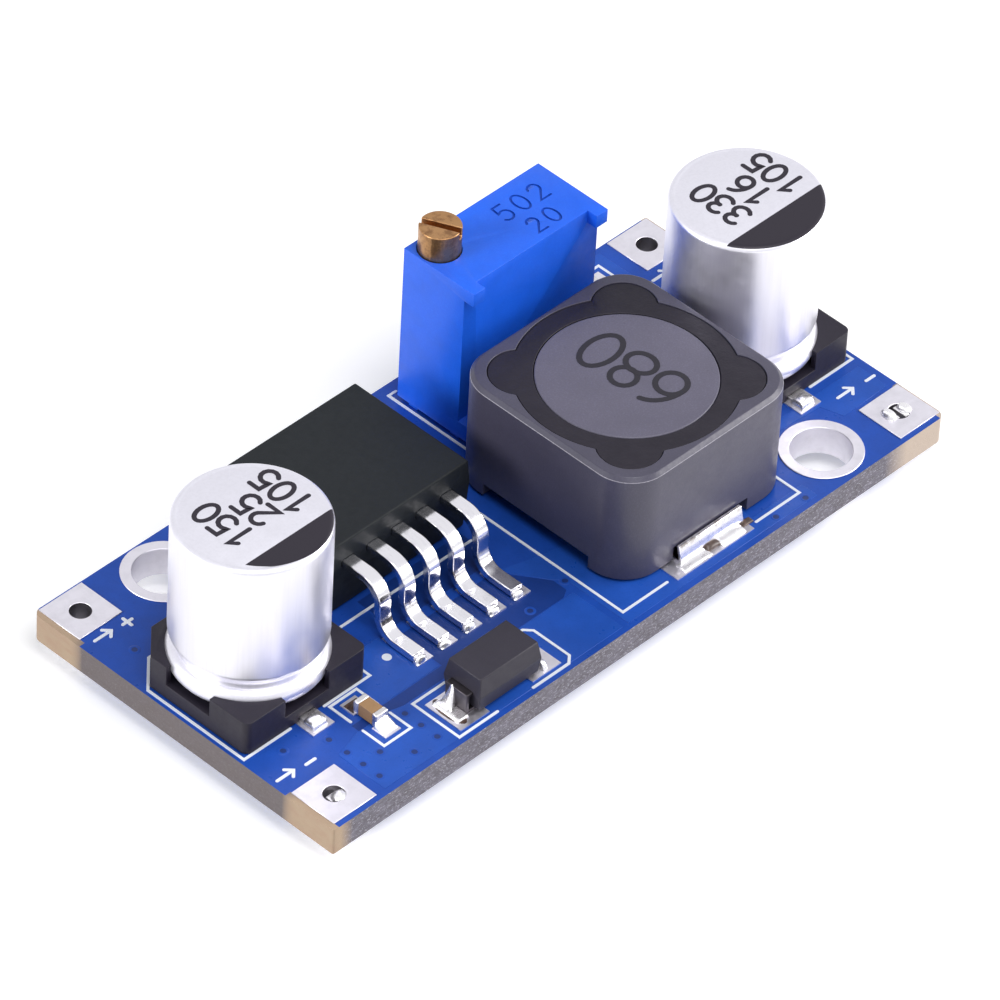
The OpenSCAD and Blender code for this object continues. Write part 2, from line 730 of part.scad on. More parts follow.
// cuts the top edge along one side of the shield and round the corner at its end
module edge_chamfer() {
  h = shield_half;
  r = shield_corner_radius;
  c = shield_chamfer;
  far = 1;
  translate([0, 0, shield_top]) {
    rotate([90, 0, 0]) translate([0, 0, -(h - r)]) linear_extrude(height = 2 * (h - r))
      polygon([[h - c, 0], [h + far, -c - far], [h + far, far], [h - c, far]]);
    translate([h - r, h - r, 0]) intersection() {
      rotate_extrude()
        polygon([[r - c, 0], [r + far, -c - far], [r + far, far], [r - c, far]]);
      translate([0, 0, -c - far]) cube(r + far);
    }
  }
}

module inductor_core() {
  color([0.42, 0.41, 0.46])
  translate([inductor_x, inductor_y, ground])
  union() {
    translate([0, 0, core_bottom]) cylinder(r = core_disc_radius, h = core_disc_thickness);
    translate([0, 0, core_bottom]) cylinder(r = core_post_radius, h = core_top - core_bottom);
    translate([0, 0, core_top - core_disc_thickness])
      cylinder(r = core_disc_radius, h = core_disc_thickness);
  }
}

module inductor_coil() {
  z0 = core_bottom + core_disc_thickness + 0.1;
  z1 = core_top - core_disc_thickness - 0.1;
  color([0.72, 0.4, 0.2])
  translate([inductor_x, inductor_y, ground + z0]) difference() {
    cylinder(r = coil_radius, h = z1 - z0);
    translate([0, 0, -1]) cylinder(r = core_post_radius + 0.1, h = z1 - z0 + 2);
  }
}

module inductor_sealing_ring() {
  color([0.22, 0.21, 0.25])
  translate([inductor_x, inductor_y, ground + shield_top - resin_recess - resin_thickness])
  linear_extrude(height = resin_thickness) difference() {
    shield_opening(resin_gap);
    circle(r = core_disc_radius + resin_gap);
  }
}

module inductor_terminals() {
  t = coil_terminal_thickness;
  rise = coil_terminal_rise;
  top = coil_terminal_top;
  foot = coil_terminal_foot;
  color([0.85, 0.85, 0.88])
  for (s = [-1, 1])
    translate([inductor_x, inductor_y, seat]) rotate([0, 0, s > 0 ? 180 : 0])
      translate([-coil_terminal_width / 2 - coil_terminal_shift, 0, 0])
        rotate([90, 0, 90]) linear_extrude(height = coil_terminal_width)
          polygon([[-foot, 0], [-2.6, 0], [-2.6, t], [-foot + t, t], [-top + t, rise],
                   [-top, rise], [-foot, t]]);
}

// ---------- diode ----------

module diode_body() {
  hl = diode_length / 2;
  hw = diode_width / 2;
  s = diode_slope;
  t = diode_lead_thickness;
  color([0.2, 0.19, 0.22])
  translate([diode_x, diode_y, ground])
  difference() {
    intersection() {
      translate([0, hw + 1, 0]) rotate([90, 0, 0]) linear_extrude(height = diode_width + 2)
        polygon([[-hl + 0.1, diode_bottom], [hl - 0.1, diode_bottom], [hl, diode_mid],
                 [hl - s, diode_top], [-hl + s, diode_top], [-hl, diode_mid]]);
      translate([-hl - 1, 0, 0]) rotate([90, 0, 90]) linear_extrude(height = diode_length + 2)
        polygon([[-hw + 0.1, diode_bottom], [hw - 0.1, diode_bottom], [hw, diode_mid],
                 [hw - s, diode_top], [-hw + s, diode_top], [-hw, diode_mid]]);
    }
    for (d = [-1, 1])
      block(d > 0 ? hl - 0.6 : -hl - 1, d > 0 ? hl + 1 : -hl + 0.6,
            -diode_lead_width / 2, diode_lead_width / 2, diode_mid - t / 2, diode_mid + t / 2);
  }
}

module diode_leads() {
  hl = diode_length / 2;
  t = diode_lead_thickness;
  w = diode_lead_width / 2;
  x1 = hl + diode_lead_reach;
  color([0.85, 0.85, 0.88])
  for (d = [-1, 1])
    translate([diode_x, diode_y, ground]) rotate([0, 0, d > 0 ? 0 : 180])
      union() {
        block(hl - 0.6, x1, -w, w, diode_mid - t / 2, diode_mid + t / 2);
        block(x1 - t, x1, -w, w, pad_height, diode_mid + t / 2);
        block(hl - 0.9, x1, -w, w, pad_height, pad_height + t);
      }
}

// ---------- trimmer ----------

module trimmer_housing() {
  hl = trim_half_l;
  hw = trim_half_w;
  z0 = trimmer_standoff;
  front = -hw + trimmer_recess;
  m = resin_plug_margin;
  color([0.1, 0.35, 0.95])
  difference() {
    translate([trimmer_x, trimmer_y, ground]) union() {
      block(-hl, hl, front, hw, z0, trimmer_top);
      for (s = [-1, 1])
        block(s > 0 ? hl - trimmer_lug_length : -hl, s > 0 ? hl : -hl + trimmer_lug_length,
              -hw, front + eps, trimmer_top - trimmer_lug_height, trimmer_top);
      for (s = [-1, 1])
        block(s > 0 ? hl - trimmer_ledge_length : -hl, s > 0 ? hl : -hl + trimmer_ledge_length,
              -hw, front + eps, z0, trimmer_ledge_height);
      for (sx = [-1, 1], sy = [-1, 1])
        translate([sx * (hl - trimmer_foot_inset_x),
                   sy * (hw - trimmer_recess - trimmer_foot_inset_y), z0 / 2])
          cube([0.8, 0.6, z0 + eps], center = true);
    }
    // pocket under the housing that the base seal fills
    translate([trimmer_x, trimmer_y, ground])
      block(-hl + m, hl - m, front + m, hw - m, z0 - 1, z0 + resin_plug_height);
    // bore for the adjusting screw
    translate([screw_x, screw_y, ground + trimmer_top - screw_head_depth - 0.1])
      cylinder(r = screw_radius + screw_clearance, h = screw_head_depth + 1);
    translate([screw_x, screw_y, ground + trimmer_top - screw_head_depth - screw_shaft_length - 0.2])
      cylinder(r = screw_shaft_radius + screw_clearance, h = screw_shaft_length + 1);
    // holes that the three pins stand in
    pin_positions()
      translate([0, 0, ground]) cylinder(r = pin_radius + pin_gap, h = z0 + pin_seat_depth + pin_gap);
  }
}

module trimmer_base_seal() {
  front = -trim_half_w + trimmer_recess;
  m = resin_plug_margin;
  color([0.12, 0.13, 0.2])
  difference() {
    translate([trimmer_x, trimmer_y, ground])
      block(-trim_half_l + m, trim_half_l - m, front + m, trim_half_w - m,
            trimmer_standoff + 0.1, trimmer_standoff + resin_plug_height);
    pin_positions() translate([0, 0, ground]) cylinder(r = pin_radius + pin_gap, h = 3);
  }
}

module trimmer_pins() {
  color([0.82, 0.8, 0.78])
  pin_positions() translate([0, 0, -pin_reach])
    cylinder(r = pin_radius, h = pin_reach + ground + trimmer_standoff + pin_seat_depth);
}

module adjusting_screw() {
  color([0.78, 0.58, 0.3])
  translate([screw_x, screw_y, ground + trimmer_top])
  difference() {
    union() {
      translate([0, 0, -screw_head_depth])
        cylinder(r = screw_radius, h = screw_head_depth + screw_rise);
      translate([0, 0, -screw_head_depth - screw_shaft_length])
        cylinder(r = screw_shaft_radius, h = screw_shaft_length + eps);
    }
    rotate([0, 0, slot_angle])
      translate([-screw_radius - 1, -slot_width / 2, screw_rise - slot_depth])
        cube([2 * screw_radius + 2, slot_width, slot_depth + 1]);
  }
}

module pin_solder_joints() {
  color([0.8, 0.8, 0.83])
  pin_positions() difference() {
    translate([0, 0, -pad_height - solder_cone_height])
      cylinder(r1 = pin_radius + 0.12, r2 = solder_cone_radius, h = solder_cone_height);
    translate([0, 0, -pin_reach - 1]) cylinder(r = pin_radius + pin_gap, h = pin_reach + 2);
  }
}

// ---------- chip parts ----------

module chip_ends(height) {
  for (s = [-1, 1])
    translate([s * (chip_length - chip_end_length) / 2, 0, height / 2])
      cube([chip_end_length, chip_width, height], center = true);
}

module chip_middle(height) {
  translate([0, 0, height / 2])
    cube([chip_length - 2 * chip_end_length, chip_width - 2 * chip_end_step,
          height - 2 * chip_end_step], center = true);
}

module chip_capacitor_body() {
  color([0.78, 0.65, 0.45])
  translate([chip_cap_x, chip_cap_y, seat]) rotate([0, 0, 90]) chip_middle(chip_cap_height);
}
module chip_capacitor_ends() {
  color([0.82, 0.8, 0.8])
  translate([chip_cap_x, chip_cap_y, seat]) rotate([0, 0, 90]) chip_ends(chip_cap_height);
}
module feedback_resistor_body() {
  color([0.1, 0.1, 0.1]) translate([chip_res_x, chip_res_y, seat]) chip_middle(chip_res_height);
}
module feedback_resistor_ends() {
  color([0.82, 0.8, 0.8]) translate([chip_res_x, chip_res_y, seat]) chip_ends(chip_res_height);
}

// ---------- nodes ----------

circuit_board();
wire_terminal_pads();
mounting_hole_rings();
surface_pads();
trimmer_hole_rings();
input_capacitor_can();
input_capacitor_base();
input_capacitor_leads();
output_capacitor_can();
output_capacitor_base();
output_capacitor_leads();
regulator_body();
regulator_heat_tab();
regulator_leads();
inductor_shield();
inductor_core();
inductor_coil();
inductor_sealing_ring();
inductor_terminals();
diode_body();
diode_leads();
trimmer_housing();
trimmer_base_seal();
trimmer_pins();
adjusting_screw();
pin_solder_joints();
chip_capacitor_body();
chip_capacitor_ends();
feedback_resistor_body();
feedback_resistor_ends();
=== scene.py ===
"""Looks of a small adjustable step-down converter module, built around its CAD frame.

All lengths are given in millimetres and turned into metres by MM. +X runs from the
input end to the output end, +Z is up, and the board's underside is at Z = 0.
"""
import math

import bmesh
import bpy
from mathutils import Matrix, Vector, noise


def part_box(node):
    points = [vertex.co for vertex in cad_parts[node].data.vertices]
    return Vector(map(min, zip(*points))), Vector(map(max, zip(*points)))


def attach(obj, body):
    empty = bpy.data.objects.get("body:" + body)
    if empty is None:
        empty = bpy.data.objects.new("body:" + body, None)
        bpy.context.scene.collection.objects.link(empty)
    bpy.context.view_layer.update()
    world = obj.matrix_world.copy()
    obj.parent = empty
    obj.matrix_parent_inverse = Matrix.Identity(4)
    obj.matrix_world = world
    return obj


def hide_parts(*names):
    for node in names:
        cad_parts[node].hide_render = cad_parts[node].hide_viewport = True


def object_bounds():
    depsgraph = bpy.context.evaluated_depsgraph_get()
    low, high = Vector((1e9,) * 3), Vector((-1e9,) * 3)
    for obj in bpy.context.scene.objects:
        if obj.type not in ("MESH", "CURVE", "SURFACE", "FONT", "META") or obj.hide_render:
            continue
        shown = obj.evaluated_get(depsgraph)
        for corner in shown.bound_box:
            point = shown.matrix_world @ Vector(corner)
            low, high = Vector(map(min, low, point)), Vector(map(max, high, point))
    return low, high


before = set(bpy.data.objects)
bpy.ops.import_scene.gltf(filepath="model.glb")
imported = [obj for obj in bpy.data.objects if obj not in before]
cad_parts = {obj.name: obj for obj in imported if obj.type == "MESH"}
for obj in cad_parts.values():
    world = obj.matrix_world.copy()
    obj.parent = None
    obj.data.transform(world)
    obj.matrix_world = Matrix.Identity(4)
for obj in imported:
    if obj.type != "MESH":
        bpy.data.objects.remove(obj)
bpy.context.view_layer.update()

MM = 0.001

BOARD = "board"
SCREW = "screw"


# -------------------- places from the frame

def box_mm(node):
    """Lowest and highest corner of a CAD node, in millimetres."""
    low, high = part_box(node)
    return Vector(low) / MM, Vector(high) / MM


def centre_mm(node):
    low, high = box_mm(node)
    return (low + high) / 2


BOARD_HIGH = box_mm("circuit_board")[1]
BOARD_TOP = BOARD_HIGH.z
PAD_TOP = box_mm("surface_pads")[1].z
HALF_LENGTH = BOARD_HIGH.x
HALF_WIDTH = BOARD_HIGH.y
INPUT_CAN = centre_mm("input_capacitor_can")
OUTPUT_CAN = centre_mm("output_capacitor_can")
INDUCTOR = centre_mm("inductor_shield")
TRIMMER_LOW, TRIMMER_HIGH = box_mm("trimmer_housing")
CHIP = centre_mm("chip_capacitor_body")
LEADS = centre_mm("regulator_leads")
LEAD_PITCH = 1.702
FIRST_LEAD = LEADS.x - 2 * LEAD_PITCH


# -------------------- node materials

def set_inputs(node, values):
    """Gives a node's input sockets their values, by name."""
    for name, value in values.items():
        node.inputs[name].default_value = value
    return node


class Finish:
    """One procedural material with a Principled BSDF and helpers to add to it."""

    def __init__(self, name, color, roughness, metallic=0.0, specular=0.5):
        self.material = bpy.data.materials.new(name)
        self.material.use_nodes = True
        self.nodes = self.material.node_tree.nodes
        self.links = self.material.node_tree.links
        self.shader = self.nodes["Principled BSDF"]
        self.color = color
        set_inputs(self.shader, {"Base Color": (*color, 1), "Roughness": roughness,
                                 "Metallic": metallic, "Specular IOR Level": specular})
        self.coordinates = self.nodes.new("ShaderNodeTexCoord").outputs["Object"]
        self.bump_height = None

    def mapped(self, scale):
        """Object coordinates in millimetres, times a scale along each axis."""
        mapping = self.nodes.new("ShaderNodeMapping")
        mapping.inputs["Scale"].default_value = [s / MM for s in scale]
        self.links.new(self.coordinates, mapping.inputs["Vector"])
        return mapping.outputs["Vector"]

    def noise(self, scale, detail=4.0, roughness=0.55, stretch=(1, 1, 1)):
        """Noise with about that many lumps to the millimetre."""
        texture = set_inputs(self.nodes.new("ShaderNodeTexNoise"),
                             {"Scale": scale, "Detail": detail, "Roughness": roughness})
        self.links.new(self.mapped(stretch), texture.inputs["Vector"])
        return texture.outputs["Fac"]

    def speckle(self, scale, stretch=(1, 1, 1)):
        """Distance to the nearest of many scattered points."""
        texture = self.nodes.new("ShaderNodeTexVoronoi")
        texture.inputs["Scale"].default_value = scale
        self.links.new(self.mapped(stretch), texture.inputs["Vector"])
        return texture.outputs["Distance"]

    def ranged(self, value, low, high, new_low=0.0, new_high=1.0):
        """value between low and high, spread from new_low to new_high."""
        node = set_inputs(self.nodes.new("ShaderNodeMapRange"), {
            "From Min": low, "From Max": high, "To Min": new_low, "To Max": new_high})
        self.links.new(value, node.inputs["Value"])
        return node.outputs["Result"]

    def arithmetic(self, operation, *values):
        node = self.nodes.new("ShaderNodeMath")
        node.operation = operation
        for value, socket in zip(values, node.inputs):
            self.links.new(value, socket)
        return node.outputs["Value"]

    def times(self, first, second):
        return self.arithmetic("MULTIPLY", first, second)

    def size_of(self, value):
        return self.arithmetic("ABSOLUTE", value)

    def axis(self, letter):
        """One coordinate in millimetres."""
        split = self.nodes.new("ShaderNodeSeparateXYZ")
        self.links.new(self.mapped((1, 1, 1)), split.inputs["Vector"])
        return split.outputs[letter]

    def blend(self, factor, other):
        """Mixes another colour into the base colour by a factor."""
        mix = self.nodes.new("ShaderNodeMix")
        mix.data_type = "RGBA"
        base = self.shader.inputs["Base Color"]
        if base.is_linked:
            self.links.new(base.links[0].from_socket, mix.inputs["A"])
        else:
            mix.inputs["A"].default_value = (*self.color, 1)
        mix.inputs["B"].default_value = (*other, 1)
        self.links.new(factor, mix.inputs["Factor"])
        self.links.new(mix.outputs["Result"], base)
        return self

    def tint(self, value, low, high, other, amount=1.0):
        """Mixes in another colour as value goes from low to high, up to an amount."""
        return self.blend(self.ranged(value, low, high, 0.0, amount), other)

    def vary_roughness(self, value, low, high):
        self.links.new(self.ranged(value, 0.3, 0.7, low, high), self.shader.inputs["Roughness"])
        return self

    def bump(self, value, height, strength=1.0):
        """Raises the surface by up to height millimetres where value is high."""
        node = set_inputs(self.nodes.new("ShaderNodeBump"),
                          {"Strength": strength, "Distance": height * MM})
        self.links.new(value, node.inputs["Height"])
        if self.bump_height:
            self.links.new(self.bump_height, node.inputs["Normal"])
        self.bump_height = node.outputs["Normal"]
        self.links.new(self.bump_height, self.shader.inputs["Normal"])
        return self


def scaled(color, factor):
    return tuple(min(1.0, c * factor) for c in color)


def solder_mask(name, color):
    """Glossy blue coating with the faint orange-peel and mottle of sprayed resin."""
    finish = Finish(name, color, 0.33, specular=0.32)
    cloud = finish.noise(0.35, detail=3)
    finish.tint(cloud, 0.35, 0.7, scaled(color, 1.25))
    grain = finish.noise(9.0, detail=2)
    finish.tint(grain, 0.5, 0.75, scaled(color, 0.7), 0.22)
    finish.vary_roughness(finish.noise(1.6), 0.27, 0.4)
    finish.bump(finish.noise(5.0, detail=2), 0.012, 0.35)
    return finish.material


def laminate(name, bare_side, bare_end):
    """Cut edge of the glass-filled board: grey and flecked, tan beside the bare corners."""
    grey, tan = (0.175, 0.165, 0.205), (0.46, 0.34, 0.235)
    finish = Finish(name, grey, 0.6, specular=0.35)
    weave = finish.noise(1.3, detail=6, roughness=0.7, stretch=(1, 1, 3.6))
    finish.tint(weave, 0.4, 0.62, (0.115, 0.105, 0.125))
    flecks = finish.noise(6.5, detail=4, roughness=0.75, stretch=(1, 1, 2.2))
    finish.tint(flecks, 0.54, 0.66, (0.52, 0.51, 0.58), 0.85)
    pits = finish.noise(3.0, detail=5, roughness=0.7, stretch=(1, 1, 4))
    finish.tint(pits, 0.6, 0.72, (0.06, 0.055, 0.06), 0.6)
    # the input end was sawn rather than snapped, so it is plainer
    sawn = finish.ranged(finish.axis("X"), -HALF_LENGTH + 0.5, -HALF_LENGTH + 0.05)
    finish.tint(sawn, 0.0, 1.0, (0.15, 0.125, 0.12), 0.8)
    # the bare corners, where no copper or coating darkens the resin
    across = finish.ranged(finish.size_of(finish.axis("Y")), bare_side, bare_side + 0.9)
    corner = finish.times(sawn, across)
    finish.blend(corner, tan)
    tip = finish.ranged(finish.size_of(finish.axis("X")), HALF_LENGTH - 1.3, HALF_LENGTH - 0.5)
    finish.blend(finish.times(tip, across), tan)
    output = finish.ranged(finish.axis("X"), bare_end, bare_end + 1.6)
    finish.blend(finish.times(output, across), (0.56, 0.46, 0.38))
    amber = finish.noise(0.9, detail=4, stretch=(1, 1, 2.5))
    tint = finish.times(corner, finish.ranged(amber, 0.42, 0.65, 0.0, 0.5))
    finish.blend(tint, (0.42, 0.27, 0.19))
    finish.bump(weave, 0.05, 0.5)
    finish.bump(flecks, 0.03, 0.5)
    return finish.material


def tinned(name, color, roughness, smudge=0.25):
    """Satin tin over copper, with faint smudges."""
    finish = Finish(name, color, roughness, metallic=1.0)
    cloud = finish.noise(1.3, detail=5, roughness=0.65)
    finish.tint(cloud, 0.45, 0.72, scaled(color, 0.62), smudge)
    finish.vary_roughness(finish.noise(2.5), roughness - 0.07, roughness + 0.09)
    finish.bump(finish.noise(6.0, detail=3), 0.015, 0.3)
    return finish.material


def lead_metal(name, stain_height):
    """Bright tinned lead whose lower bend carries a brown flux stain."""
    finish = Finish(name, (0.9, 0.89, 0.92), 0.14, metallic=1.0)
    above = finish.ranged(finish.axis("Z"), stain_height - 0.35, stain_height)
    below = finish.ranged(finish.axis("Z"), stain_height + 0.35, stain_height)
    patch = finish.ranged(finish.noise(2.2, detail=4, roughness=0.7), 0.5, 0.6, 0.0, 0.8)
    finish.blend(finish.times(finish.times(above, below), patch), (0.26, 0.2, 0.15))
    streaks = finish.noise(4.0, detail=3, stretch=(1, 0.25, 0.25))
    finish.tint(streaks, 0.5, 0.72, (0.66, 0.64, 0.7), 0.2)
    finish.vary_roughness(streaks, 0.1, 0.19)
    finish.bump(streaks, 0.004, 0.2)
    return finish.material


def bright_solder():
    """Smooth white-bright solder with a few burnt flux spots."""
    finish = Finish("bright_solder", (0.95, 0.94, 0.95), 0.22, metallic=0.85)
    flux = finish.noise(1.9, detail=4, roughness=0.7)
    finish.tint(flux, 0.63, 0.7, (0.17, 0.135, 0.12), 0.7)
    finish.vary_roughness(finish.noise(2.0), 0.2, 0.36)
    finish.bump(finish.noise(1.6, detail=2), 0.02, 0.3)
    return finish.material


def burnt_flux():
    finish = Finish("burnt_flux", (0.06, 0.035, 0.028), 0.3, specular=0.6)
    lumps = finish.noise(3.0, detail=4)
    finish.tint(lumps, 0.45, 0.7, (0.16, 0.1, 0.075))
    finish.bump(lumps, 0.04, 0.5)
    return finish.material


def drawn_aluminium():
    """Spun and drawn can: pale satin with faint lines up its side."""
    color = (0.86, 0.85, 0.92)
    finish = Finish("can_aluminium", color, 0.36, metallic=0.9, specular=0.6)
    lines = finish.noise(7.0, detail=3, stretch=(1, 1, 0.03))
    finish.tint(lines, 0.4, 0.7, scaled(color, 0.88), 0.35)
    finish.vary_roughness(finish.noise(1.1, detail=5), 0.33, 0.42)
    finish.bump(lines, 0.004, 0.25)
    return finish.material


def moulded(name, color, roughness, grain=14.0, height=0.012, strength=0.35, specular=0.4):
    """Moulded plastic or epoxy with a fine matte grain."""
    finish = Finish(name, color, roughness, specular=specular)
    fine = finish.noise(grain, detail=3)
    finish.tint(fine, 0.45, 0.75, scaled(color, 1.5), 0.35)
    wide = finish.noise(0.6, detail=3)
    finish.tint(wide, 0.4, 0.7, scaled(color, 0.78), 0.4)
    finish.vary_roughness(finish.noise(2.0), roughness - 0.06, roughness + 0.08)
    finish.bump(fine, height, strength)
    return finish.material


def pressed_ferrite(name, color, roughness, sparkle):
    """Sintered ferrite: fine grains, faint pits and a dull sheen."""
    finish = Finish(name, color, roughness, specular=0.5)
    grains = finish.noise(11.0, detail=4, roughness=0.65)
    finish.tint(grains, 0.48, 0.75, scaled(color, 1.9), sparkle)
    pits = finish.speckle(1.6)
    finish.tint(pits, 0.12, 0.02, scaled(color, 0.6), 0.5)
    clouds = finish.noise(0.5, detail=4)
    finish.tint(clouds, 0.4, 0.7, scaled(color, 0.8), 0.35)
    finish.vary_roughness(finish.noise(3.0), roughness - 0.06, roughness + 0.08)
    finish.bump(grains, 0.012, 0.4)
    finish.bump(pits, 0.01, 0.2)
    return finish.material


def poured_resin():
    finish = Finish("dark_resin", (0.018, 0.015, 0.024), 0.36, specular=0.28)
    swirl = finish.noise(0.9, detail=4, roughness=0.6)
    finish.tint(swirl, 0.4, 0.7, (0.01, 0.008, 0.014), 0.5)
    finish.vary_roughness(swirl, 0.36, 0.5)
    finish.bump(swirl, 0.12, 0.45)
    finish.bump(finish.noise(8.0), 0.01, 0.3)
    return finish.material


def turned_brass():
    """Turned screw head: fine rings on its end and round its side, darker in the grooves."""
    color = (0.5, 0.28, 0.13)
    finish = Finish("screw_brass", color, 0.33, metallic=1.0)
    rings = finish.noise(6.0, detail=3, stretch=(0.12, 0.12, 3.5))
    finish.tint(rings, 0.4, 0.65, (0.42, 0.22, 0.09), 0.5)
    stain = finish.noise(1.8, detail=5, roughness=0.7)
    finish.tint(stain, 0.48, 0.62, (0.2, 0.1, 0.05), 0.7)
    finish.vary_roughness(stain, 0.26, 0.44)
    finish.bump(rings, 0.01, 0.4)
    return finish.material


def printed(name, color, roughness=0.55):
    """Screen-printed ink, slightly uneven in cover."""
    finish = Finish(name, color, roughness, specular=0.3)
    cover = finish.noise(6.0, detail=4, roughness=0.7)
    finish.tint(cover, 0.55, 0.75, scaled(color, 0.8), 0.4)
    finish.bump(cover, 0.008, 0.3)
    return finish.material


BARE_END = HALF_LENGTH - 4.4
BARE_SIDE = HALF_WIDTH - 3.5
STAINED_BEND = BOARD_TOP + 1.15

LOOKS = {
    "mask": solder_mask("mask_blue", (0.011, 0.066, 0.38)),
    "mask_copper": solder_mask("mask_over_copper", (0.014, 0.078, 0.41)),
    # a darker coat over gaps without copper, also laid under the regulator's leads as painted
    # shade
    "mask_gap_and_shade": solder_mask("mask_over_laminate_and_painted_shade", (0.007, 0.038, 0.22)),
    "laminate": laminate("board_laminate", BARE_SIDE, BARE_END),
    "pads": tinned("tinned_pads", (0.8, 0.78, 0.84), 0.42),
    "tab": tinned("tinned_tab", (0.74, 0.73, 0.76), 0.34, smudge=0.4),
    "leads": lead_metal("tinned_leads", STAINED_BEND),
    "chip_metal": tinned("chip_ends", (0.78, 0.76, 0.76), 0.3, smudge=0.35),
    "dull": tinned("dull_tin", (0.1, 0.09, 0.1), 0.4, smudge=0.5),
    # dark metal for the walls inside the wire pad holes: painted shade
    "hole": tinned("painted_hole_shade", (0.2, 0.19, 0.21), 0.45, smudge=0.5),
    "solder": bright_solder(),
    "flux": burnt_flux(),
    "can": drawn_aluminium(),
    "base": moulded("capacitor_base", (0.017, 0.014, 0.024), 0.45, specular=0.3),
    "epoxy": moulded("regulator_epoxy", (0.0095, 0.012, 0.0145), 0.56, grain=18.0, height=0.016,
                     strength=0.45, specular=0.26),
    "diode": moulded("diode_epoxy", (0.028, 0.025, 0.037), 0.48, specular=0.35),
    "ferrite": pressed_ferrite("shield_ferrite", (0.066, 0.062, 0.096), 0.34, sparkle=0.3),
    # pale ferrite for the shield's rounded top edge: a painted highlight
    "edge_highlight": pressed_ferrite("painted_highlight_ferrite", (0.3, 0.29, 0.34), 0.28, sparkle=0.9),
    "core": pressed_ferrite("core_ferrite", (0.115, 0.108, 0.155), 0.42, sparkle=0.4),
    "wire": tinned("enamelled_wire", (0.72, 0.38, 0.18), 0.3),
    "resin": poured_resin(),
    "plastic": moulded("trimmer_plastic", (0.012, 0.135, 0.9), 0.36, grain=10.0, height=0.006,
                       strength=0.25, specular=0.5),
    "cut": moulded("engraved_cut", (0.012, 0.09, 0.55), 0.5),
    "brass": turned_brass(),
    "ceramic": moulded("chip_ceramic", (0.34, 0.2, 0.095), 0.4),
    "glaze": moulded("resistor_glaze", (0.02, 0.02, 0.024), 0.3),
    "silk": printed("white_print", (0.84, 0.88, 0.95)),
    "ink": printed("dark_ink", (0.022, 0.018, 0.028), 0.4),
    "mark": printed("core_mark", (0.022, 0.02, 0.028), 0.5),
    "via": moulded("via_well", (0.008, 0.03, 0.16), 0.35),
}


# -------------------- mesh helpers

def in_scene(name, data):
    obj = bpy.data.objects.new(name, data)
    bpy.context.scene.collection.objects.link(obj)
    return obj


def add_object(name, bm, material, body=BOARD, smooth_angle=35):
    """A piece of the part, from a bmesh in millimetres."""
    obj = in_scene(name, finish_mesh(bm, name, smooth_angle))
    obj.data.materials.append(LOOKS[material])
    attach(obj, body)
    return obj


def finish_mesh(bm, name, smooth_angle):
    """Turns a bmesh in millimetres into a smooth-shaded mesh in metres."""
    bmesh.ops.scale(bm, vec=(MM, MM, MM), verts=bm.verts)
    bmesh.ops.recalc_face_normals(bm, faces=bm.faces)
    mesh = bpy.data.meshes.new(name)
    bm.to_mesh(mesh)
    bm.free()
    for polygon in mesh.polygons:
        polygon.use_smooth = True
    mesh.set_sharp_from_angle(angle=math.radians(smooth_angle))
    return mesh


def bevel(obj, width, segments=2, angle=30):
    """Rounds the edges of a piece, and applies it to the mesh."""
    modifier = obj.modifiers.new("edge_round", "BEVEL")
    modifier.width = width * MM
    modifier.segments = segments
    modifier.limit_method = "ANGLE"
    modifier.angle_limit = math.radians(angle)
    modifier.miter_outer = "MITER_ARC"
    apply_modifiers(obj)


def apply_modifiers(obj):
    graph = bpy.context.evaluated_depsgraph_get()
    mesh = bpy.data.meshes.new_from_object(obj.evaluated_get(graph))
    obj.modifiers.clear()
    obj.data = mesh


def cad_bmesh(node):
    """The CAD node's own surface in millimetres, with its flat faces whole again."""
    bm = bmesh.new()
    bm.from_mesh(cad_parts[node].data)
    bmesh.ops.scale(bm, vec=(1 / MM, 1 / MM, 1 / MM), verts=bm.verts)
    bmesh.ops.remove_doubles(bm, verts=bm.verts, dist=0.0005)
    bmesh.ops.dissolve_limit(
        bm, angle_limit=math.radians(0.5), verts=bm.verts, edges=bm.edges)
    return bm


def dress(node, material, round_width, body=BOARD, segments=2, angle=30):
    """A piece of the node's exact form with rounded edges, standing for the node."""
    obj = add_object(node + "_dressed", cad_bmesh(node), material, body)
    if round_width:
        bevel(obj, round_width, segments, angle)
    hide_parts(node)
    return obj


def recolor(node, material):
    """A CAD node that is shown as it is, with a better finish."""
    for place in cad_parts[node].material_slots:
        place.material = LOOKS[material]


def lathe(bm, profile, centre, segments):
    """Turns a profile of (radius, height) points about the upright axis through centre."""
    rings = []
    for radius, height in profile:
        if radius < 1e-6:
            rings.append([bm.verts.new((centre.x, centre.y, height))])
            continue
        angles = [2 * math.pi * i / segments for i in range(segments)]
        rings.append([bm.verts.new((centre.x + radius * math.cos(angle),
                                    centre.y + radius * math.sin(angle), height))
                      for angle in angles])
    for upper, lower in zip(rings, rings[1:]):
        for i in range(segments):
            j = (i + 1) % segments
            corners = [upper[i % len(upper)], upper[j % len(upper)],
                       lower[j % len(lower)], lower[i % len(lower)]]
            bm.faces.new(list(dict.fromkeys(corners)))


def arc(cx, cy, rx, ry, start, end, steps=10):
    """Points along part of an ellipse, from one angle to another in degrees."""
    points = []
    for i in range(steps + 1):
        angle = math.radians(start + (end - start) * i / steps)
        points.append((cx + rx * math.cos(angle), cy + ry * math.sin(angle)))
    return points


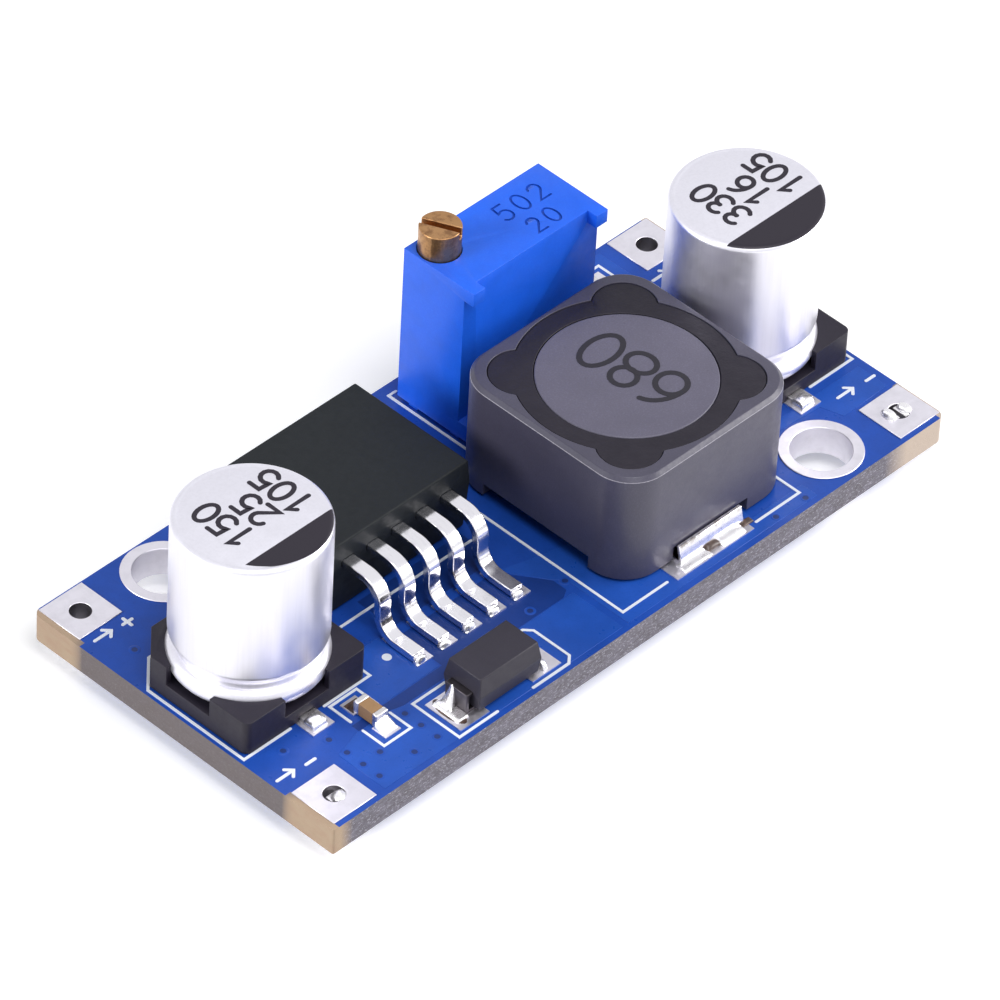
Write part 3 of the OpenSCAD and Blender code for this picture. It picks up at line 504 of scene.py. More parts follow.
def ribbon(bm, points, width, low, high, closed=False):
    """A flat pen stroke along points, of that width, between two heights.

    An open stroke has half-round ends, and a closed one joins its last point to its first.
    """
    count = len(points)
    half = width / 2
    path = [Vector(p) for p in points]

    def direction(i):
        ahead = path[(i + 1) % count] if closed or i < count - 1 else path[i]
        behind = path[i - 1] if closed or i > 0 else path[i]
        before = (path[i] - behind).normalized() if behind != path[i] else None
        after = (ahead - path[i]).normalized() if ahead != path[i] else None
        return before or after, after or before

    left, right = [], []
    for i in range(count):
        before, after = direction(i)
        middle = (before + after).normalized()
        stretch = 1 / max(0.5, middle.dot(after))
        side = Vector((-middle.y, middle.x)) * half * stretch
        left.append(path[i] + side)
        right.append(path[i] - side)
    outline_rows = list(zip(left, right))
    if not closed:
        first, last = direction(0)[1], direction(count - 1)[0]
        # the far cap is built looking back, so its sides are swapped
        far_cap = [row[::-1] for row in round_cap(path[-1], -last, half)[::-1]]
        outline_rows = round_cap(path[0], first, half) + outline_rows + far_cap
    tops = [[bm.verts.new((*p, high)) for p in row] for row in outline_rows]
    bottoms = [[bm.verts.new((*p, low)) for p in row] for row in outline_rows]
    span = len(tops)
    steps = span if closed else span - 1
    for i in range(steps):
        j = (i + 1) % span
        bm.faces.new((tops[i][0], tops[i][1], tops[j][1], tops[j][0]))
        bm.faces.new((bottoms[i][0], bottoms[j][0], bottoms[j][1], bottoms[i][1]))
        bm.faces.new((tops[i][0], tops[j][0], bottoms[j][0], bottoms[i][0]))
        bm.faces.new((tops[i][1], bottoms[i][1], bottoms[j][1], tops[j][1]))
    if not closed:
        for k in (0, span - 1):
            bm.faces.new((tops[k][0], bottoms[k][0], bottoms[k][1], tops[k][1]))


def round_cap(tip, along, half, steps=4):
    """Rows of a half-round end behind tip, widening towards it."""
    across = Vector((-along.y, along.x))
    rows = []
    for k in range(steps):
        angle = math.radians(8 + 82 * k / steps)
        back = tip - along * half * math.cos(angle)
        rows.append((back + across * half * math.sin(angle),
                     back - across * half * math.sin(angle)))
    return rows


def slab(bm, outline, low, high):
    """A flat plate with that outline between two heights."""
    bottom = [bm.verts.new((x, y, low)) for x, y in outline]
    top = [bm.verts.new((x, y, high)) for x, y in outline]
    bm.faces.new(top)
    bm.faces.new(bottom[::-1])
    for i in range(len(outline)):
        j = (i + 1) % len(outline)
        bm.faces.new((bottom[i], bottom[j], top[j], top[i]))


def sheet_faces(bm, top, bottom):
    """Closes two matching grids of vertices into a solid sheet."""
    columns, rows = len(top) - 1, len(top[0]) - 1
    for i in range(columns):
        for j in range(rows):
            bm.faces.new((top[i][j], top[i + 1][j], top[i + 1][j + 1], top[i][j + 1]))
            bm.faces.new((bottom[i][j], bottom[i][j + 1], bottom[i + 1][j + 1],
                          bottom[i + 1][j]))
    border = ([(i, 0) for i in range(columns)]
              + [(columns, j) for j in range(rows)]
              + [(i, rows) for i in range(columns, 0, -1)]
              + [(0, j) for j in range(rows, 0, -1)])
    for (a, b), (c, d) in zip(border, border[1:] + border[:1]):
        bm.faces.new((bottom[a][b], bottom[c][d], top[c][d], top[a][b]))


def mound(name, low, high, height, steps, material="solder", base=PAD_TOP):
    """Solder over a rectangle: height(u, v) is its top above base, u and v from 0 to 1."""
    ripple_size, ripple_pitch = 0.14, 2.1
    lowest, sunk = -0.02, 0.04
    bm = bmesh.new()
    columns, rows = steps
    top, bottom = [], []
    for i in range(columns + 1):
        top.append([])
        bottom.append([])
        for j in range(rows + 1):
            u, v = i / columns, j / rows
            x = low[0] + (high[0] - low[0]) * u
            y = low[1] + (high[1] - low[1]) * v
            wave = noise.noise(Vector((x * ripple_pitch, y * ripple_pitch, 0.7)))
            lift = max(lowest, height(u, v) * (1 + ripple_size * wave))
            top[-1].append(bm.verts.new((x, y, base + lift)))
            bottom[-1].append(bm.verts.new((x, y, base - sunk)))
    sheet_faces(bm, top, bottom)
    add_object(name, bm, material, smooth_angle=70)


def blob(u, v, u0, v0, ru, rv, power=2.0):
    """A rounded drop of height 1 about (u0, v0), below 0 outside its outline."""
    away = ((u - u0) / ru) ** 2 + ((v - v0) / rv) ** 2
    return 1 - away if away >= 1 else (1 - away) ** (1 / power)


def dome(t, power=2.6):
    """1 in the middle of 0..1, falling to 0 at both ends."""
    return max(0.0, 1 - abs(2 * t - 1) ** power) ** (1 / power)


# -------------------- plain digits

# strokes that cross lie at slightly different heights
STROKE_STEP = 0.002
# printed ink starts below the surface and stands a little proud of it
INK_SINK = 0.02
INK_RISE = 0.014
# the middle of a digit that is drawn 1 high
DIGIT_MIDDLE = (0.3, 0.5)


def oval(cx, cy, rx, ry):
    return arc(cx, cy, rx, ry, 90, 450, 24)[:-1]


DIGITS = {
    "0": [(True, oval(0.3, 0.5, 0.3, 0.5))],
    "1": [(False, [(0.1, 0.78), (0.34, 1.0), (0.34, 0.0)])],
    "2": [(False, arc(0.3, 0.71, 0.28, 0.29, 165, -35) + [(0.02, 0.0), (0.6, 0.0)])],
    "3": [(False, arc(0.28, 0.76, 0.27, 0.24, 150, -88)),
          (False, arc(0.28, 0.27, 0.31, 0.27, 88, -150))],
    "5": [(False, [(0.55, 1.0), (0.1, 1.0), (0.06, 0.57)]
           + arc(0.28, 0.32, 0.31, 0.32, 125, -145))],
    "6": [(False, arc(0.56, 0.3, 0.55, 0.7, 100, 178, 8)), (True, oval(0.3, 0.3, 0.29, 0.3))],
    "8": [(True, oval(0.3, 0.75, 0.25, 0.25)), (True, oval(0.3, 0.26, 0.3, 0.26))],
}


def write_digits(bm, text, middle, height, pitch, stroke, turn, low, high):
    """Digits in a row centred on middle; turn is the reading direction in degrees from +X."""
    heading = Matrix.Rotation(math.radians(turn), 2)
    for place, digit in enumerate(text):
        shift = (place - (len(text) - 1) / 2) * pitch
        for k, (closed, points) in enumerate(DIGITS[digit]):
            moved = []
            for x, y in points:
                local = Vector((shift + (x - DIGIT_MIDDLE[0]) * height,
                                (y - DIGIT_MIDDLE[1]) * height))
                moved.append(Vector(middle) + heading @ local)
            ribbon(bm, moved, stroke, low - k * STROKE_STEP, high + k * STROKE_STEP, closed)


# -------------------- the board

FIELD_SINK = 0.01
FIELD_ROUND = 0.012
CLEAR_LIFT = 0.006
MASK_LIFT = 0.018
PRINT_LIFT = 0.034
PRINT_SINK = 0.005
BARE_STRIP = HALF_LENGTH - 0.36
BARE_REACH = HALF_WIDTH - 3.3


def make_board():
    """The board with coated faces, cut edges and four bare corners by the wire pads."""
    bare_look, coated_look = 0, 1
    bm = cad_bmesh("circuit_board")
    cuts = [((1, 0, 0), BARE_STRIP), ((1, 0, 0), -BARE_STRIP),
            ((0, 1, 0), BARE_REACH), ((0, 1, 0), -BARE_REACH)]
    for normal, distance in cuts:
        bmesh.ops.bisect_plane(
            bm, geom=bm.verts[:] + bm.edges[:] + bm.faces[:], dist=1e-5,
            plane_co=Vector(normal) * distance, plane_no=normal)
    obj = add_object("board_dressed", bm, "laminate")
    obj.data.materials.append(LOOKS["mask"])
    for polygon in obj.data.polygons:
        middle = polygon.center / MM
        bare = abs(middle.x) > BARE_STRIP and abs(middle.y) > BARE_REACH
        flat = abs(polygon.normal.z) > 0.9
        polygon.material_index = coated_look if flat and not bare else bare_look
    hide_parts("circuit_board")


def make_copper_fields():
    """Copper areas that stand out as raised, paler fields, gaps without copper that look darker,
    and painted shade under the regulator's leads.
    """
    front = -HALF_WIDTH + 0.35
    back = HALF_WIDTH - 0.35
    end = HALF_LENGTH - 0.5
    # the darker field under the regulator's leads is painted shade cast by the regulator and its
    # leads; a real gap without copper runs in front of them
    clear = [
        [(-9.6, -2.35), (-3.2, -2.35), (-2.4, -1.5), (-2.4, 0.1), (-9.6, 0.1)],
        [(-16.0, -6.6), (-14.0, -6.35), (-13.2, -6.6), (-2.0, -6.6), (-1.5, -6.3), (-1.5, -5.4),
         (-3.2, -3.0), (-9.8, -3.0), (-9.8, -5.9), (-16.0, -5.9)],
    ]
    fields = [
        # input field, from the input capacitor to the regulator's first lead
        [(-15.3, -5.85), (-9.95, -5.85), (-9.95, -2.4), (-12.3, -2.4), (-12.3, 5.6),
         (-15.3, 5.6)],
        # ground field along the front edge
        [(-17.9, front), (-1.4, front), (-1.4, -6.65), (-13.0, -6.65), (-14.0, -6.4),
         (-16.2, -6.4), (-17.9, -6.9)],
        # switched field between the regulator and the inductor
        [(-1.0, front), (12.6, front), (12.6, -9.0), (9.0, -9.0), (9.0, -6.0), (-1.0, -3.6),
         (-3.1, -3.0), (-1.5, -5.35), (-1.0, -5.8)],
        # output field behind the output capacitor
        [(12.6, 5.0), (17.9, 5.0), (17.9, back), (12.6, back)],
        # ground field between the mounting hole and the output capacitor
        [(17.9, -7.0), (end, -6.9), (end, -4.9), (13.2, -4.9), (13.2, -5.4), (17.5, -5.7)],
        # strip of ground along the back edge
        [(-12.2, 9.95), (1.8, 9.95), (1.8, back), (-12.2, back)],
    ]
    bm = bmesh.new()
    for outline in fields:
        slab(bm, outline, BOARD_TOP - FIELD_SINK, BOARD_TOP + MASK_LIFT)
        # the underside carries the same layout
        slab(bm, outline, -MASK_LIFT, FIELD_SINK)
    obj = add_object("copper_fields", bm, "mask_copper")
    bevel(obj, FIELD_ROUND, 1)
    bm = bmesh.new()
    # darker slabs: gaps without copper, and painted shade under the regulator's leads
    for outline in clear:
        slab(bm, outline, BOARD_TOP - FIELD_SINK, BOARD_TOP + CLEAR_LIFT)
    add_object("clear_and_shaded_fields", bm, "mask_gap_and_shade")


def make_vias():
    """Plated wells that join the two copper layers, coated over on both faces."""
    places = [(-19.62, -4.86), (-17.48, -5.83), (-15.07, -9.24), (-16.28, -8.1),
              (-3.89, -6.14), (-1.09, -5.81), (9.9, -9.75), (12.0, -9.8), (-19.9, 5.1)]
    row_start, row_pitch = -9.25, 1.1
    for row in range(3):
        places += [(x, row_start + row * row_pitch) for x in (-17.47, -13.52)]
    well, crown, shoulder, skirt = 0.16, 0.2, 0.26, 0.33
    rise, swell, well_sink, rim_sink = 0.022, 0.006, 0.01, 0.005
    wells, rims = bmesh.new(), bmesh.new()
    for x, y in places:
        centre = Vector((x, y, 0))
        for face, out in ((BOARD_TOP, 1), (0.0, -1)):
            top = face + out * rise
            floor, foot = face - out * well_sink, face - out * rim_sink
            lathe(wells, [(0, top), (well, top), (well, floor), (0, floor)], centre, 20)
            lathe(rims, [(well, top), (crown, top + out * swell), (shoulder, top),
                         (skirt, foot), (well, foot), (well, top)], centre, 24)
    add_object("via_wells", wells, "via")
    add_object("via_rims", rims, "mask")


def capacitor_outline(centre):
    """Printed outline round a can's base, cut at two corners, open at the two pads."""
    half_x, half_y, cut, pad_gap = 4.28, 4.12, 1.62, 1.15
    left = [(centre.x - pad_gap, centre.y - half_y),
            (centre.x - half_x, centre.y - half_y),
            (centre.x - half_x, centre.y + half_y - cut),
            (centre.x - half_x + cut, centre.y + half_y),
            (centre.x - pad_gap, centre.y + half_y)]
    right = [(2 * centre.x - x, y) for x, y in left]
    return [left, right]


def make_print():
    """White outlines of the parts, the first-pin dot and the signs at the wire pads."""
    width = 0.15
    low, high = BOARD_TOP - PRINT_SINK, BOARD_TOP + PRINT_LIFT
    lines = capacitor_outline(INPUT_CAN) + capacitor_outline(OUTPUT_CAN)
    # inductor, open at its two terminals
    left, right, front, back = -0.65, 12.05, -9.33, 3.35
    stop, start, short = 2.5, 8.9, 1.85
    lines += [[(left, back), (left, front), (stop, front)],
              [(start, front), (right, front), (right, front + short)],
              [(left, back), (stop, back)],
              [(start, back), (right, back), (right, back - short)]]
    # trimmer, a bracket at each end
    left, left_inner = TRIMMER_LOW.x - 0.13, TRIMMER_LOW.x - 0.13 + 0.5
    right, right_inner, front, back = 12.4, 12.0, 4.2, 9.7
    lines += [[(left_inner, back), (left, back), (left, front), (left_inner, front)],
              [(right_inner, back), (right, back), (right, front), (right_inner, front)]]
    # resistor, a bracket at each end
    resistor = centre_mm("feedback_resistor_body")
    near, far, half = 0.45, 1.95, 0.85
    for s in (1, -1):
        inner, outer = resistor.x + s * near, resistor.x + s * far
        lines.append([(inner, resistor.y + half), (outer, resistor.y + half),
                      (outer, resistor.y - half), (inner, resistor.y - half)])
    # regulator: a line that runs on under the leads
    row, past = -0.62, 1.15
    lines.append([(FIRST_LEAD - past, row), (FIRST_LEAD + 4 * LEAD_PITCH + past, row)])
    # diode: square at its input end, cut corners at its output end
    lines += [[(-10.57, -6.85), (-12.78, -6.85), (-12.78, -10.02), (-10.15, -10.02)],
              [(-5.45, -6.85), (-5.15, -6.85), (-4.78, -7.25), (-4.78, -9.67), (-5.2, -10.04),
               (-7.7, -10.04)]]
    # chip capacitor, a bracket at each end
    near, far, half = 0.42, 1.86, 0.92
    for s in (1, -1):
        inner, outer = CHIP.y + s * near, CHIP.y + s * far
        lines.append([(CHIP.x - half, inner), (CHIP.x - half, outer), (CHIP.x + half, outer),
                      (CHIP.x + half, inner)])
    bm = bmesh.new()
    for k, points in enumerate(lines):
        ribbon(bm, points, width, low, high + (k % 3) * STROKE_STEP)
    dot, dot_radius = Vector((FIRST_LEAD - 1.02, -3.67, 0)), 0.25
    lathe(bm, [(0, high), (dot_radius, high), (dot_radius, low), (0, low)], dot, 24)
    make_signs(bm, low, high)
    add_object("white_print", bm, "silk")


def make_signs(bm, low, high):
    """A small arrow and a plus or minus sign beside each wire pad, all pointing to the output."""
    signs = [(-20.35, 6.85, (-18.8, 6.75), "+"), (-20.75, -6.15, (-19.2, -6.3), "-"),
             (18.9, 6.7, (20.6, 6.7), "+"), (19.2, -5.85, (20.95, -5.95), "-")]
    shaft, barb, arm, stroke = 0.55, 0.32, 0.3, 0.17
    for x, y, (sign_x, sign_y), sign in signs:
        strokes = [[(x - shaft, y), (x + shaft - 0.1, y)],
                   [(x + shaft - barb, y + barb), (x + shaft, y), (x + shaft - barb, y - barb)],
                   [(sign_x - arm, sign_y), (sign_x + arm, sign_y)]]
        if sign == "+":
            strokes.append([(sign_x, sign_y - arm), (sign_x, sign_y + arm)])
        for k, points in enumerate(strokes):
            ribbon(bm, points, stroke, low, high + k * STROKE_STEP)


# -------------------- can capacitors

CAN_EDGE = 0.3
# places of the three lines of figures, from the middle of a can's top
FIGURE_ROWS = ((-1.42, 0.55), (0.44, 0.26), (2.3, 0.32))


def can_section(node):
    """Half section of a can, from the middle of its top to the middle of its underside."""
    low, high = box_mm(node)
    radius = (high.x - low.x) / 2
    top, foot = high.z, low.z
    flat = radius - CAN_EDGE
    # a faint crease runs round the top where the drawn edge begins
    crease_depth = 0.022
    section = [(0, top), (flat - 0.14, top), (flat - 0.08, top - crease_depth), (flat - 0.02, top)]
    section += arc(flat, top - CAN_EDGE, CAN_EDGE, CAN_EDGE, 84, 0, 14)
    # the side eases into the rolled groove and out again over the rim
    neck, groove, ease, steps = radius - 0.36, foot + 1.28, 0.8, 10
    for k in range(steps + 1):
        inward = 0.5 - 0.5 * math.cos(math.pi * k / steps)
        section.append((radius - (radius - neck) * inward, groove + ease * (1 - k / steps)))
    rim_x, rim_z, rim_out, rim_height = 0.5, 0.6, 0.1, 0.46
    section += arc(radius + rim_out - rim_x, foot + rim_height, rim_x, rim_z, 84, -80, 18)
    section += [(radius - 0.6, foot), (0, foot)]
    return section


def can_top_at(node, x, y):
    """Height of a can's top at a point, which falls away over its rounded edge."""
    centre = centre_mm(node)
    low, high = box_mm(node)
    past = math.hypot(x - centre.x, y - centre.y) - ((high.x - low.x) / 2 - CAN_EDGE)
    past = min(max(past, 0.0), CAN_EDGE * 0.98)
    return high.z - CAN_EDGE + math.sqrt(CAN_EDGE ** 2 - past ** 2)


def segment_film(bm, node, centre, radius, chord):
    """Black ink over the part of a round print beyond a chord, draped on the can's top."""
    half = math.sqrt(radius ** 2 - chord ** 2)
    columns, rows = 48, 20
    tops, bottoms = [], []
    for i in range(columns + 1):
        x = -half * math.cos(math.pi * i / columns)
        reach = math.sqrt(max(radius ** 2 - x ** 2, chord ** 2 + 1e-6))
        tops.append([])
        bottoms.append([])
        for j in range(rows + 1):
            y = -chord - (reach - chord) * j / rows
            place = (centre[0] + x, centre[1] + y)
            height = can_top_at(node, *place)
            tops[-1].append(bm.verts.new((*place, height + INK_RISE)))
            bottoms[-1].append(bm.verts.new((*place, height - INK_SINK)))
    sheet_faces(bm, tops, bottoms)


def make_can(node, name, digits, print_shift, print_radius, chord):
    """A can with its three lines of figures and its black segment on the negative side."""
    centre = centre_mm(node)
    bm = bmesh.new()
    lathe(bm, can_section(node), centre, 160)
    can = add_object(name, bm, "can", smooth_angle=50)
    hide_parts(node)
    marks = bmesh.new()
    middle = (centre.x + print_shift[0], centre.y + print_shift[1])
    segment_film(marks, node, middle, print_radius, chord)
    top = box_mm(node)[1].z
    height, pitch, stroke, rise = 1.42, 1.14, 0.25, 0.01
    for text, (x, y) in zip(digits, FIGURE_ROWS):
        write_digits(marks, text, (centre.x + x, centre.y + y), height, pitch, stroke, 90,
                     top - INK_SINK, top + rise)
    add_object(name + "_marks", marks, "ink")


# -------------------- inductor, trimmer, screw

def make_inductor():
    shield = dress("inductor_shield", "ferrite", 0.11, segments=3, angle=25)
    # the rounded edge round the top is painted pale, a painted highlight
    shield.data.materials.append(LOOKS["edge_highlight"])
    rim = box_mm("inductor_shield")[1].z - 0.3
    for polygon in shield.data.polygons:
        outward = (polygon.center / MM - INDUCTOR).xy.dot(polygon.normal.xy) > 0
        if polygon.center.z > rim * MM and 0.3 < polygon.normal.z < 0.68 and outward:
            polygon.material_index = 1
    dress("inductor_core", "core", 0.06)
    dress("inductor_sealing_ring", "resin", 0.03)
    recolor("inductor_coil", "wire")
    dress("inductor_terminals", "leads", 0.05)
    top = box_mm("inductor_core")[1].z
    bm = bmesh.new()
    height, pitch, stroke, turn = 2.75, 2.05, 0.3, 93
    write_digits(bm, "680", (INDUCTOR.x + 0.5, INDUCTOR.y + 0.1), height, pitch, stroke, turn,
                 top - INK_SINK, top + INK_RISE)
    add_object("core_figures", bm, "mark")


def make_trimmer():
    housing = dress("trimmer_housing", "plastic", 0.13, segments=3, angle=40)
    top = TRIMMER_HIGH.z
    bm = bmesh.new()
    stroke, depth, above = 0.13, 0.09, 0.2
    for text, place, height, pitch in (("502", (9.1, 7.75), 1.2, 1.2),
                                       ("20", (9.0, 6.05), 1.1, 1.15)):
        write_digits(bm, text, place, height, pitch, stroke, 0, top - depth, top + above)
    cutter = in_scene("engraving", finish_mesh(bm, "engraving", 35))
    cut = housing.modifiers.new("engrave", "BOOLEAN")
    cut.operation = "DIFFERENCE"
    cut.solver = "EXACT"
    cut.use_self = True
    cut.object = cutter
    apply_modifiers(housing)
    bpy.data.objects.remove(cutter)
    housing.data.set_sharp_from_angle(angle=math.radians(25))
    # the cuts look darker, because dust and shade gather in them
    housing.data.materials.append(LOOKS["cut"])
    for polygon in housing.data.polygons:
        middle = polygon.center / MM
        inside = 5.5 < middle.x < 11.7 and 5.2 < middle.y < 9.1
        if inside and top - 1.2 * depth < middle.z < top - 0.01:
            polygon.material_index = len(housing.data.materials) - 1
    dress("trimmer_base_seal", "resin", 0)
    dress("adjusting_screw", "brass", 0.06, SCREW, segments=3)
    recolor("trimmer_pins", "tab")
    recolor("pin_solder_joints", "solder")
    recolor("trimmer_hole_rings", "pads")


# -------------------- solder

def make_lead_solder():
    """A bright toe of solder before each foot of the regulator, off to the left of its pad."""
    tip = box_mm("regulator_leads")[0].y
    for i in range(-2, 3):
        x = LEADS.x + i * LEAD_PITCH
        tall = 0.3 + 0.05 * math.sin(3.1 * i + 1)
        mound(f"lead_solder_{i + 3}", (x - 0.42, tip - 0.34), (x + 0.5, tip + 0.02),
              lambda u, v, tall=tall: tall * blob(u, v, 0.42, 0.62, 0.44, 0.62), (24, 14))


def make_terminal_solder():
    """Two bright fillets before the inductor's terminal, and between them a dark lump in the burnt
    flux finish that is painted shade of the unsoldered gap.
    """
    low, high = box_mm("inductor_terminals")
    edge = low.y
    left, gap, right, end = low.x - 0.25, low.x + 1.75, low.x + 2.45, high.x - 0.95
    for name, x0, x1, tall in (("left", left, gap, 0.14), ("right", right, end, 0.26)):
        mound(f"terminal_solder_{name}", (x0, edge - 0.5), (x1, edge + 0.12),
              lambda u, v, tall=tall: tall * dome(u, 5) * dome(0.06 + 0.6 * v, 2.2), (40, 16))
    # painted shade: a dark lump fills the unsoldered gap between the fillets
    mound("terminal_gap_shade", (gap - 0.15, edge - 0.3), (right + 0.1, edge + 0.14),
          lambda u, v: 0.3 * dome(u, 3) * dome(0.05 + 0.6 * v, 2), (24, 16), "flux")
    mound("terminal_flux_end", (end - 0.05, edge - 0.22), (high.x - 0.1, edge + 0.1),
          lambda u, v: 0.12 * dome(u, 3) * dome(0.05 + 0.6 * v, 2), (24, 16), "flux")


def make_diode_solder():
    """A tall teardrop on one lead of the diode, and a low bead on the other."""
    low, high = box_mm("diode_leads")
    y = (low.y + high.y) / 2

    def tall(u, v):
        pool = 0.16 * dome(u, 5) * dome(v, 5)
        half = 0.15 + 0.22 * (1 - u)
        drop = max(0.0, 1 - ((v - 0.66) / half) ** 2) ** 0.7 * max(0.0, u - 0.15) ** 1.6 * 1.7
        return pool + min(drop, 1.2)

    mound("diode_solder_input", (low.x - 0.72, y - 0.9), (low.x + 0.02, y + 0.9),
          tall, (36, 60))
    mound("diode_flux_input", (low.x - 0.95, y - 1.15), (low.x + 0.05, y + 1.1),
          lambda u, v: 0.03 * blob(u, v, 0.55, 0.5, 0.42, 0.48), (24, 24), "flux")
    mound("diode_solder_output", (high.x - 0.1, y - 1.2), (high.x + 0.35, y - 0.5),
          lambda u, v: 0.42 * blob(u, v, 0.3, 0.5, 0.6, 0.48), (18, 22))


def make_capacitor_solder():
    """A rounded bead over each foot lead of the cans, front and back."""
    for label, node in (("input", "input_capacitor_leads"), ("output", "output_capacitor_leads")):
        low, high = box_mm(node)
        x = (low.x + high.x) / 2
        for side, tip, inward in (("front", low.y, 1), ("back", high.y, -1)):
            ends = sorted((tip - 0.22 * inward, tip + 0.62 * inward))
            mound(f"{label}_lead_solder_{side}", (x - 0.52, ends[0]), (x + 0.4, ends[1]),
                  lambda u, v: 0.4 * dome(u, 5) * dome(v, 3), (24, 22))


def make_chip_solder():
    """A bright fillet before the chip capacitor, and burnt flux behind it."""
    low, high = box_mm("chip_capacitor_ends")
    mound("chip_solder_front", (low.x - 0.1, low.y - 0.62), (high.x + 0.1, low.y + 0.08),
          lambda u, v: 0.5 * dome(u, 3) * v ** 1.4 + 0.08 * dome(u, 5) * dome(v, 4), (22, 20))
    mound("chip_solder_back", (low.x - 0.05, high.y - 0.05), (high.x + 0.05, high.y + 0.6),
          lambda u, v: 0.4 * dome(u, 3) * (1 - v) ** 1.6, (22, 20), "flux")


def make_pad_solder():
    """Solder left on the wire pads of the ground side."""
    low, high = box_mm("wire_terminal_pads")
    inset = 1.45
    input_hole = (low.x + inset, low.y + inset)
    output_hole = (high.x - inset, low.y + inset)
    x, y = input_hole
    mound("input_hole_plug", (x - 0.2, y - 0.62), (x + 0.72, y + 0.35),
          lambda u, v: 0.36 * blob(u, v, 0.55, 0.4, 0.52, 0.5), (20, 20), base=PAD_TOP - 0.35)
    x, y = output_hole
    mound("output_pad_bead", (x - 0.95, y - 0.35), (x - 0.3, y + 0.6),
          lambda u, v: 0.3 * blob(u, v, 0.5, 0.5, 0.48, 0.5), (20, 22))
    mound("output_hole_plug", (x + 0.05, y - 0.45), (x + 0.75, y + 0.45),
          lambda u, v: 0.24 * blob(u, v, 0.55, 0.5, 0.48, 0.5), (20, 22), base=PAD_TOP - 0.1)


# -------------------- the rest of the pieces

def dress_everything():
    """The pieces that keep the CAD's form, with rounded edges."""
    recolor("surface_pads", "pads")
    pads = dress("wire_terminal_pads", "pads", 0.02, segments=1, angle=40)
    pads.data.materials.append(LOOKS["hole"])
    # the walls down the holes take a dark finish: painted shade
    for polygon in pads.data.polygons:
        shaded_wall = abs(polygon.normal.z) < 0.5 and polygon.center.z < (BOARD_TOP - 0.01) * MM
        polygon.material_index = 1 if shaded_wall else 0
    dress("mounting_hole_rings", "pads", 0.03, segments=1, angle=40)
    dress("input_capacitor_base", "base", 0.05)
    dress("output_capacitor_base", "base", 0.05)
    dress("input_capacitor_leads", "chip_metal", 0.04)
    dress("output_capacitor_leads", "chip_metal", 0.04)
    dress("regulator_body", "epoxy", 0.09, segments=3, angle=8)
    dress("regulator_heat_tab", "tab", 0.05)
    dress("regulator_leads", "leads", 0.05)
    dress("diode_body", "diode", 0.06, angle=8)
    dress("diode_leads", "dull", 0.03)
    dress("chip_capacitor_body", "ceramic", 0.02)
    dress("chip_capacitor_ends", "chip_metal", 0.05)
    dress("feedback_resistor_body", "glaze", 0.02)
    dress("feedback_resistor_ends", "chip_metal", 0.05)


# -------------------- stage, camera and light

def make_floor():
    """White paper under the part, which glows a little to the camera and in reflections."""
    half = 2.0
    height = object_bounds()[0].z
    mesh = bpy.data.meshes.new("floor")
    mesh.from_pydata([(-half, -half, height), (half, -half, height), (half, half, height),
                      (-half, half, height)], [], [(0, 1, 2, 3)])
    floor = in_scene("floor", mesh)
    material = bpy.data.materials.new("floor_paper")
    material.use_nodes = True
    nodes, links = material.node_tree.nodes, material.node_tree.links
    shader = nodes["Principled BSDF"]
    set_inputs(shader, {"Base Color": (0.86, 0.86, 0.86, 1), "Roughness": 0.9,
                        "Specular IOR Level": 0.1})
    seen = nodes.new("ShaderNodeLightPath")
    glow = set_inputs(nodes.new("ShaderNodeEmission"), {"Strength": 0.35})
    add = nodes.new("ShaderNodeAddShader")
    nothing = set_inputs(nodes.new("ShaderNodeEmission"), {"Strength": 0.0})
    pick = nodes.new("ShaderNodeMixShader")
    either = nodes.new("ShaderNodeMath")
    either.operation = "MAXIMUM"
    links.new(seen.outputs["Is Camera Ray"], either.inputs[0])
    links.new(seen.outputs["Is Glossy Ray"], either.inputs[1])
    links.new(either.outputs["Value"], pick.inputs["Fac"])
    links.new(nothing.outputs["Emission"], pick.inputs[1])
    links.new(glow.outputs["Emission"], pick.inputs[2])
    links.new(shader.outputs["BSDF"], add.inputs[0])
    links.new(pick.outputs["Shader"], add.inputs[1])
    links.new(add.outputs["Shader"], nodes["Material Output"].inputs["Surface"])
    mesh.materials.append(material)


def make_world():
    """White to the camera and in reflections, a soft even light to everything else."""
    world = bpy.data.worlds.new("studio")
    bpy.context.scene.world = world
    world.use_nodes = True
    nodes, links = world.node_tree.nodes, world.node_tree.links
    nodes.clear()
    output = nodes.new("ShaderNodeOutputWorld")

    def background(color, strength):
        return set_inputs(nodes.new("ShaderNodeBackground"),
                          {"Color": (*color, 1), "Strength": strength})

    soft = background((0.94, 0.95, 1.0), 0.22)
    white = background((1, 1, 1), 1.0)
    shiny = background((0.97, 0.97, 1.0), 0.9)
    rays = nodes.new("ShaderNodeLightPath")
    first = nodes.new("ShaderNodeMixShader")
    second = nodes.new("ShaderNodeMixShader")
    links.new(rays.outputs["Is Glossy Ray"], first.inputs["Fac"])
    links.new(soft.outputs["Background"], first.inputs[1])
    links.new(shiny.outputs["Background"], first.inputs[2])
    links.new(rays.outputs["Is Camera Ray"], second.inputs["Fac"])
    links.new(first.outputs["Shader"], second.inputs[1])
    links.new(white.outputs["Background"], second.inputs[2])
    links.new(second.outputs["Shader"], output.inputs["Surface"])


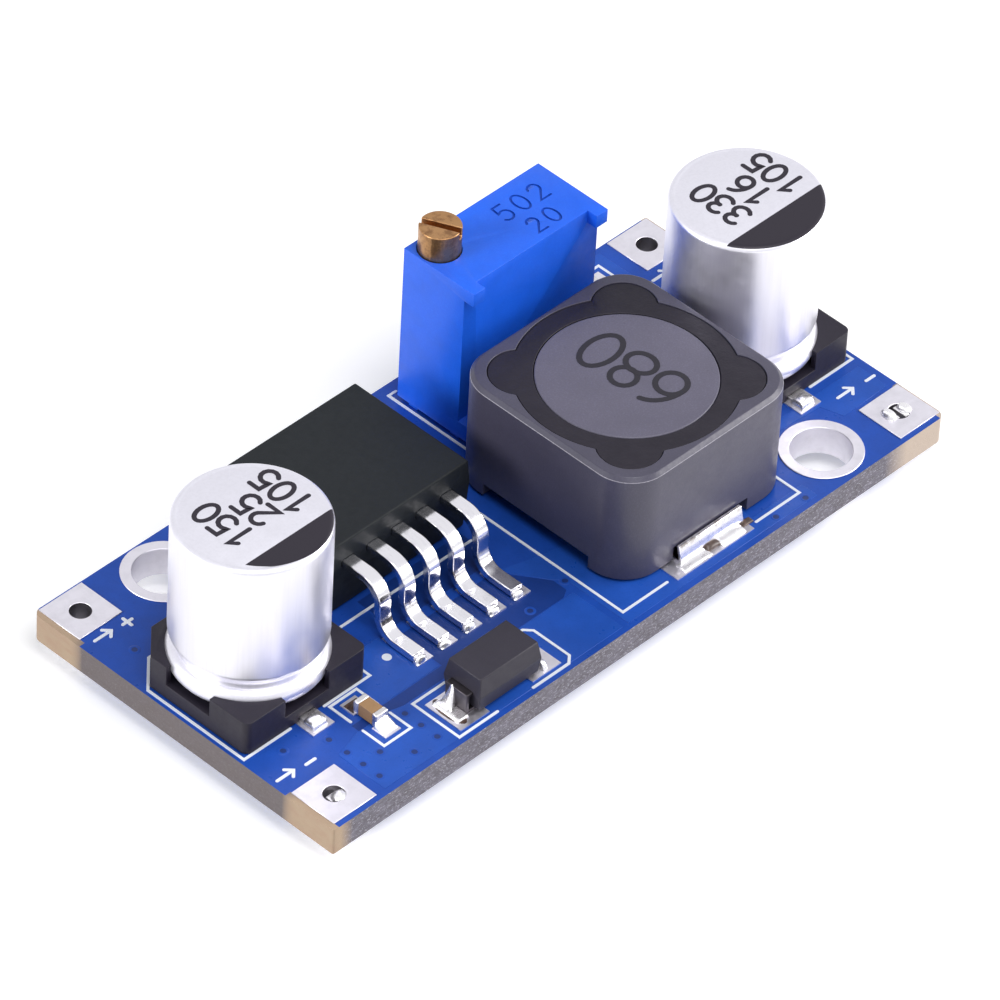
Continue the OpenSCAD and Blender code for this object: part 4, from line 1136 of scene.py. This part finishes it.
def add_lamp(name, azimuth, elevation, distance, size, watts, color=(1, 1, 1)):
    """A soft box that faces the object; azimuth 0 is on the -Y side, 90 on the +X side."""
    a, e = math.radians(azimuth), math.radians(elevation)
    away = Vector((math.sin(a) * math.cos(e), -math.cos(a) * math.cos(e), math.sin(e)))
    lamp = bpy.data.lights.new(name, "AREA")
    lamp.shape = "DISK"
    lamp.size = size
    lamp.energy = watts
    lamp.color = color
    obj = in_scene(name, lamp)
    obj.location = away * distance
    obj.rotation_euler = away.to_track_quat("Z", "Y").to_euler()


def make_lights():
    add_lamp("top_box", -20, 66, 0.3, 0.18, 0.42)
    add_lamp("left_box", -108, 20, 0.3, 0.14, 0.5)
    add_lamp("right_box", 52, 24, 0.32, 0.22, 0.8, (1.0, 0.98, 0.97))


def make_camera():
    """Looks down on the input end from the front left, as in the photograph."""
    azimuth, elevation, roll = (math.radians(a) for a in (-47.924, 42.351, 3.267))
    target = Vector((-0.332, -0.428, 3.0)) * MM
    distance = 444.334 * MM
    back = Vector((math.sin(azimuth) * math.cos(elevation),
                   -math.cos(azimuth) * math.cos(elevation), math.sin(elevation)))
    right = (-back).cross(Vector((0, 0, 1))).normalized()
    up = right.cross(-back)
    across = right * math.cos(roll) + up * math.sin(roll)
    upright = up * math.cos(roll) - right * math.sin(roll)
    data = bpy.data.cameras.new("camera")
    data.sensor_width = 36
    data.lens = 324.27
    data.shift_x = 0.0015
    data.shift_y = -0.00125
    data.clip_start = 0.01
    data.clip_end = 10
    camera = in_scene("camera", data)
    turn = Matrix((across, upright, back)).transposed()
    camera.matrix_world = Matrix.Translation(target + back * distance) @ turn.to_4x4()
    bpy.context.scene.camera = camera


# -------------------- build

make_camera()
make_board()
make_copper_fields()
make_vias()
make_print()
make_can("input_capacitor_can", "input_can_dressed", ("150", "25", "105"), (0.3, -0.33), 3.45,
         1.85)
make_can("output_capacitor_can", "output_can_dressed", ("330", "16", "105"), (0, 0), 3.88, 1.8)
dress_everything()
make_inductor()
make_trimmer()
make_lead_solder()
make_terminal_solder()
make_diode_solder()
make_capacitor_solder()
make_chip_solder()
make_pad_solder()
make_floor()
make_world()
make_lights()

bpy.context.scene.view_settings.view_transform = "Standard"
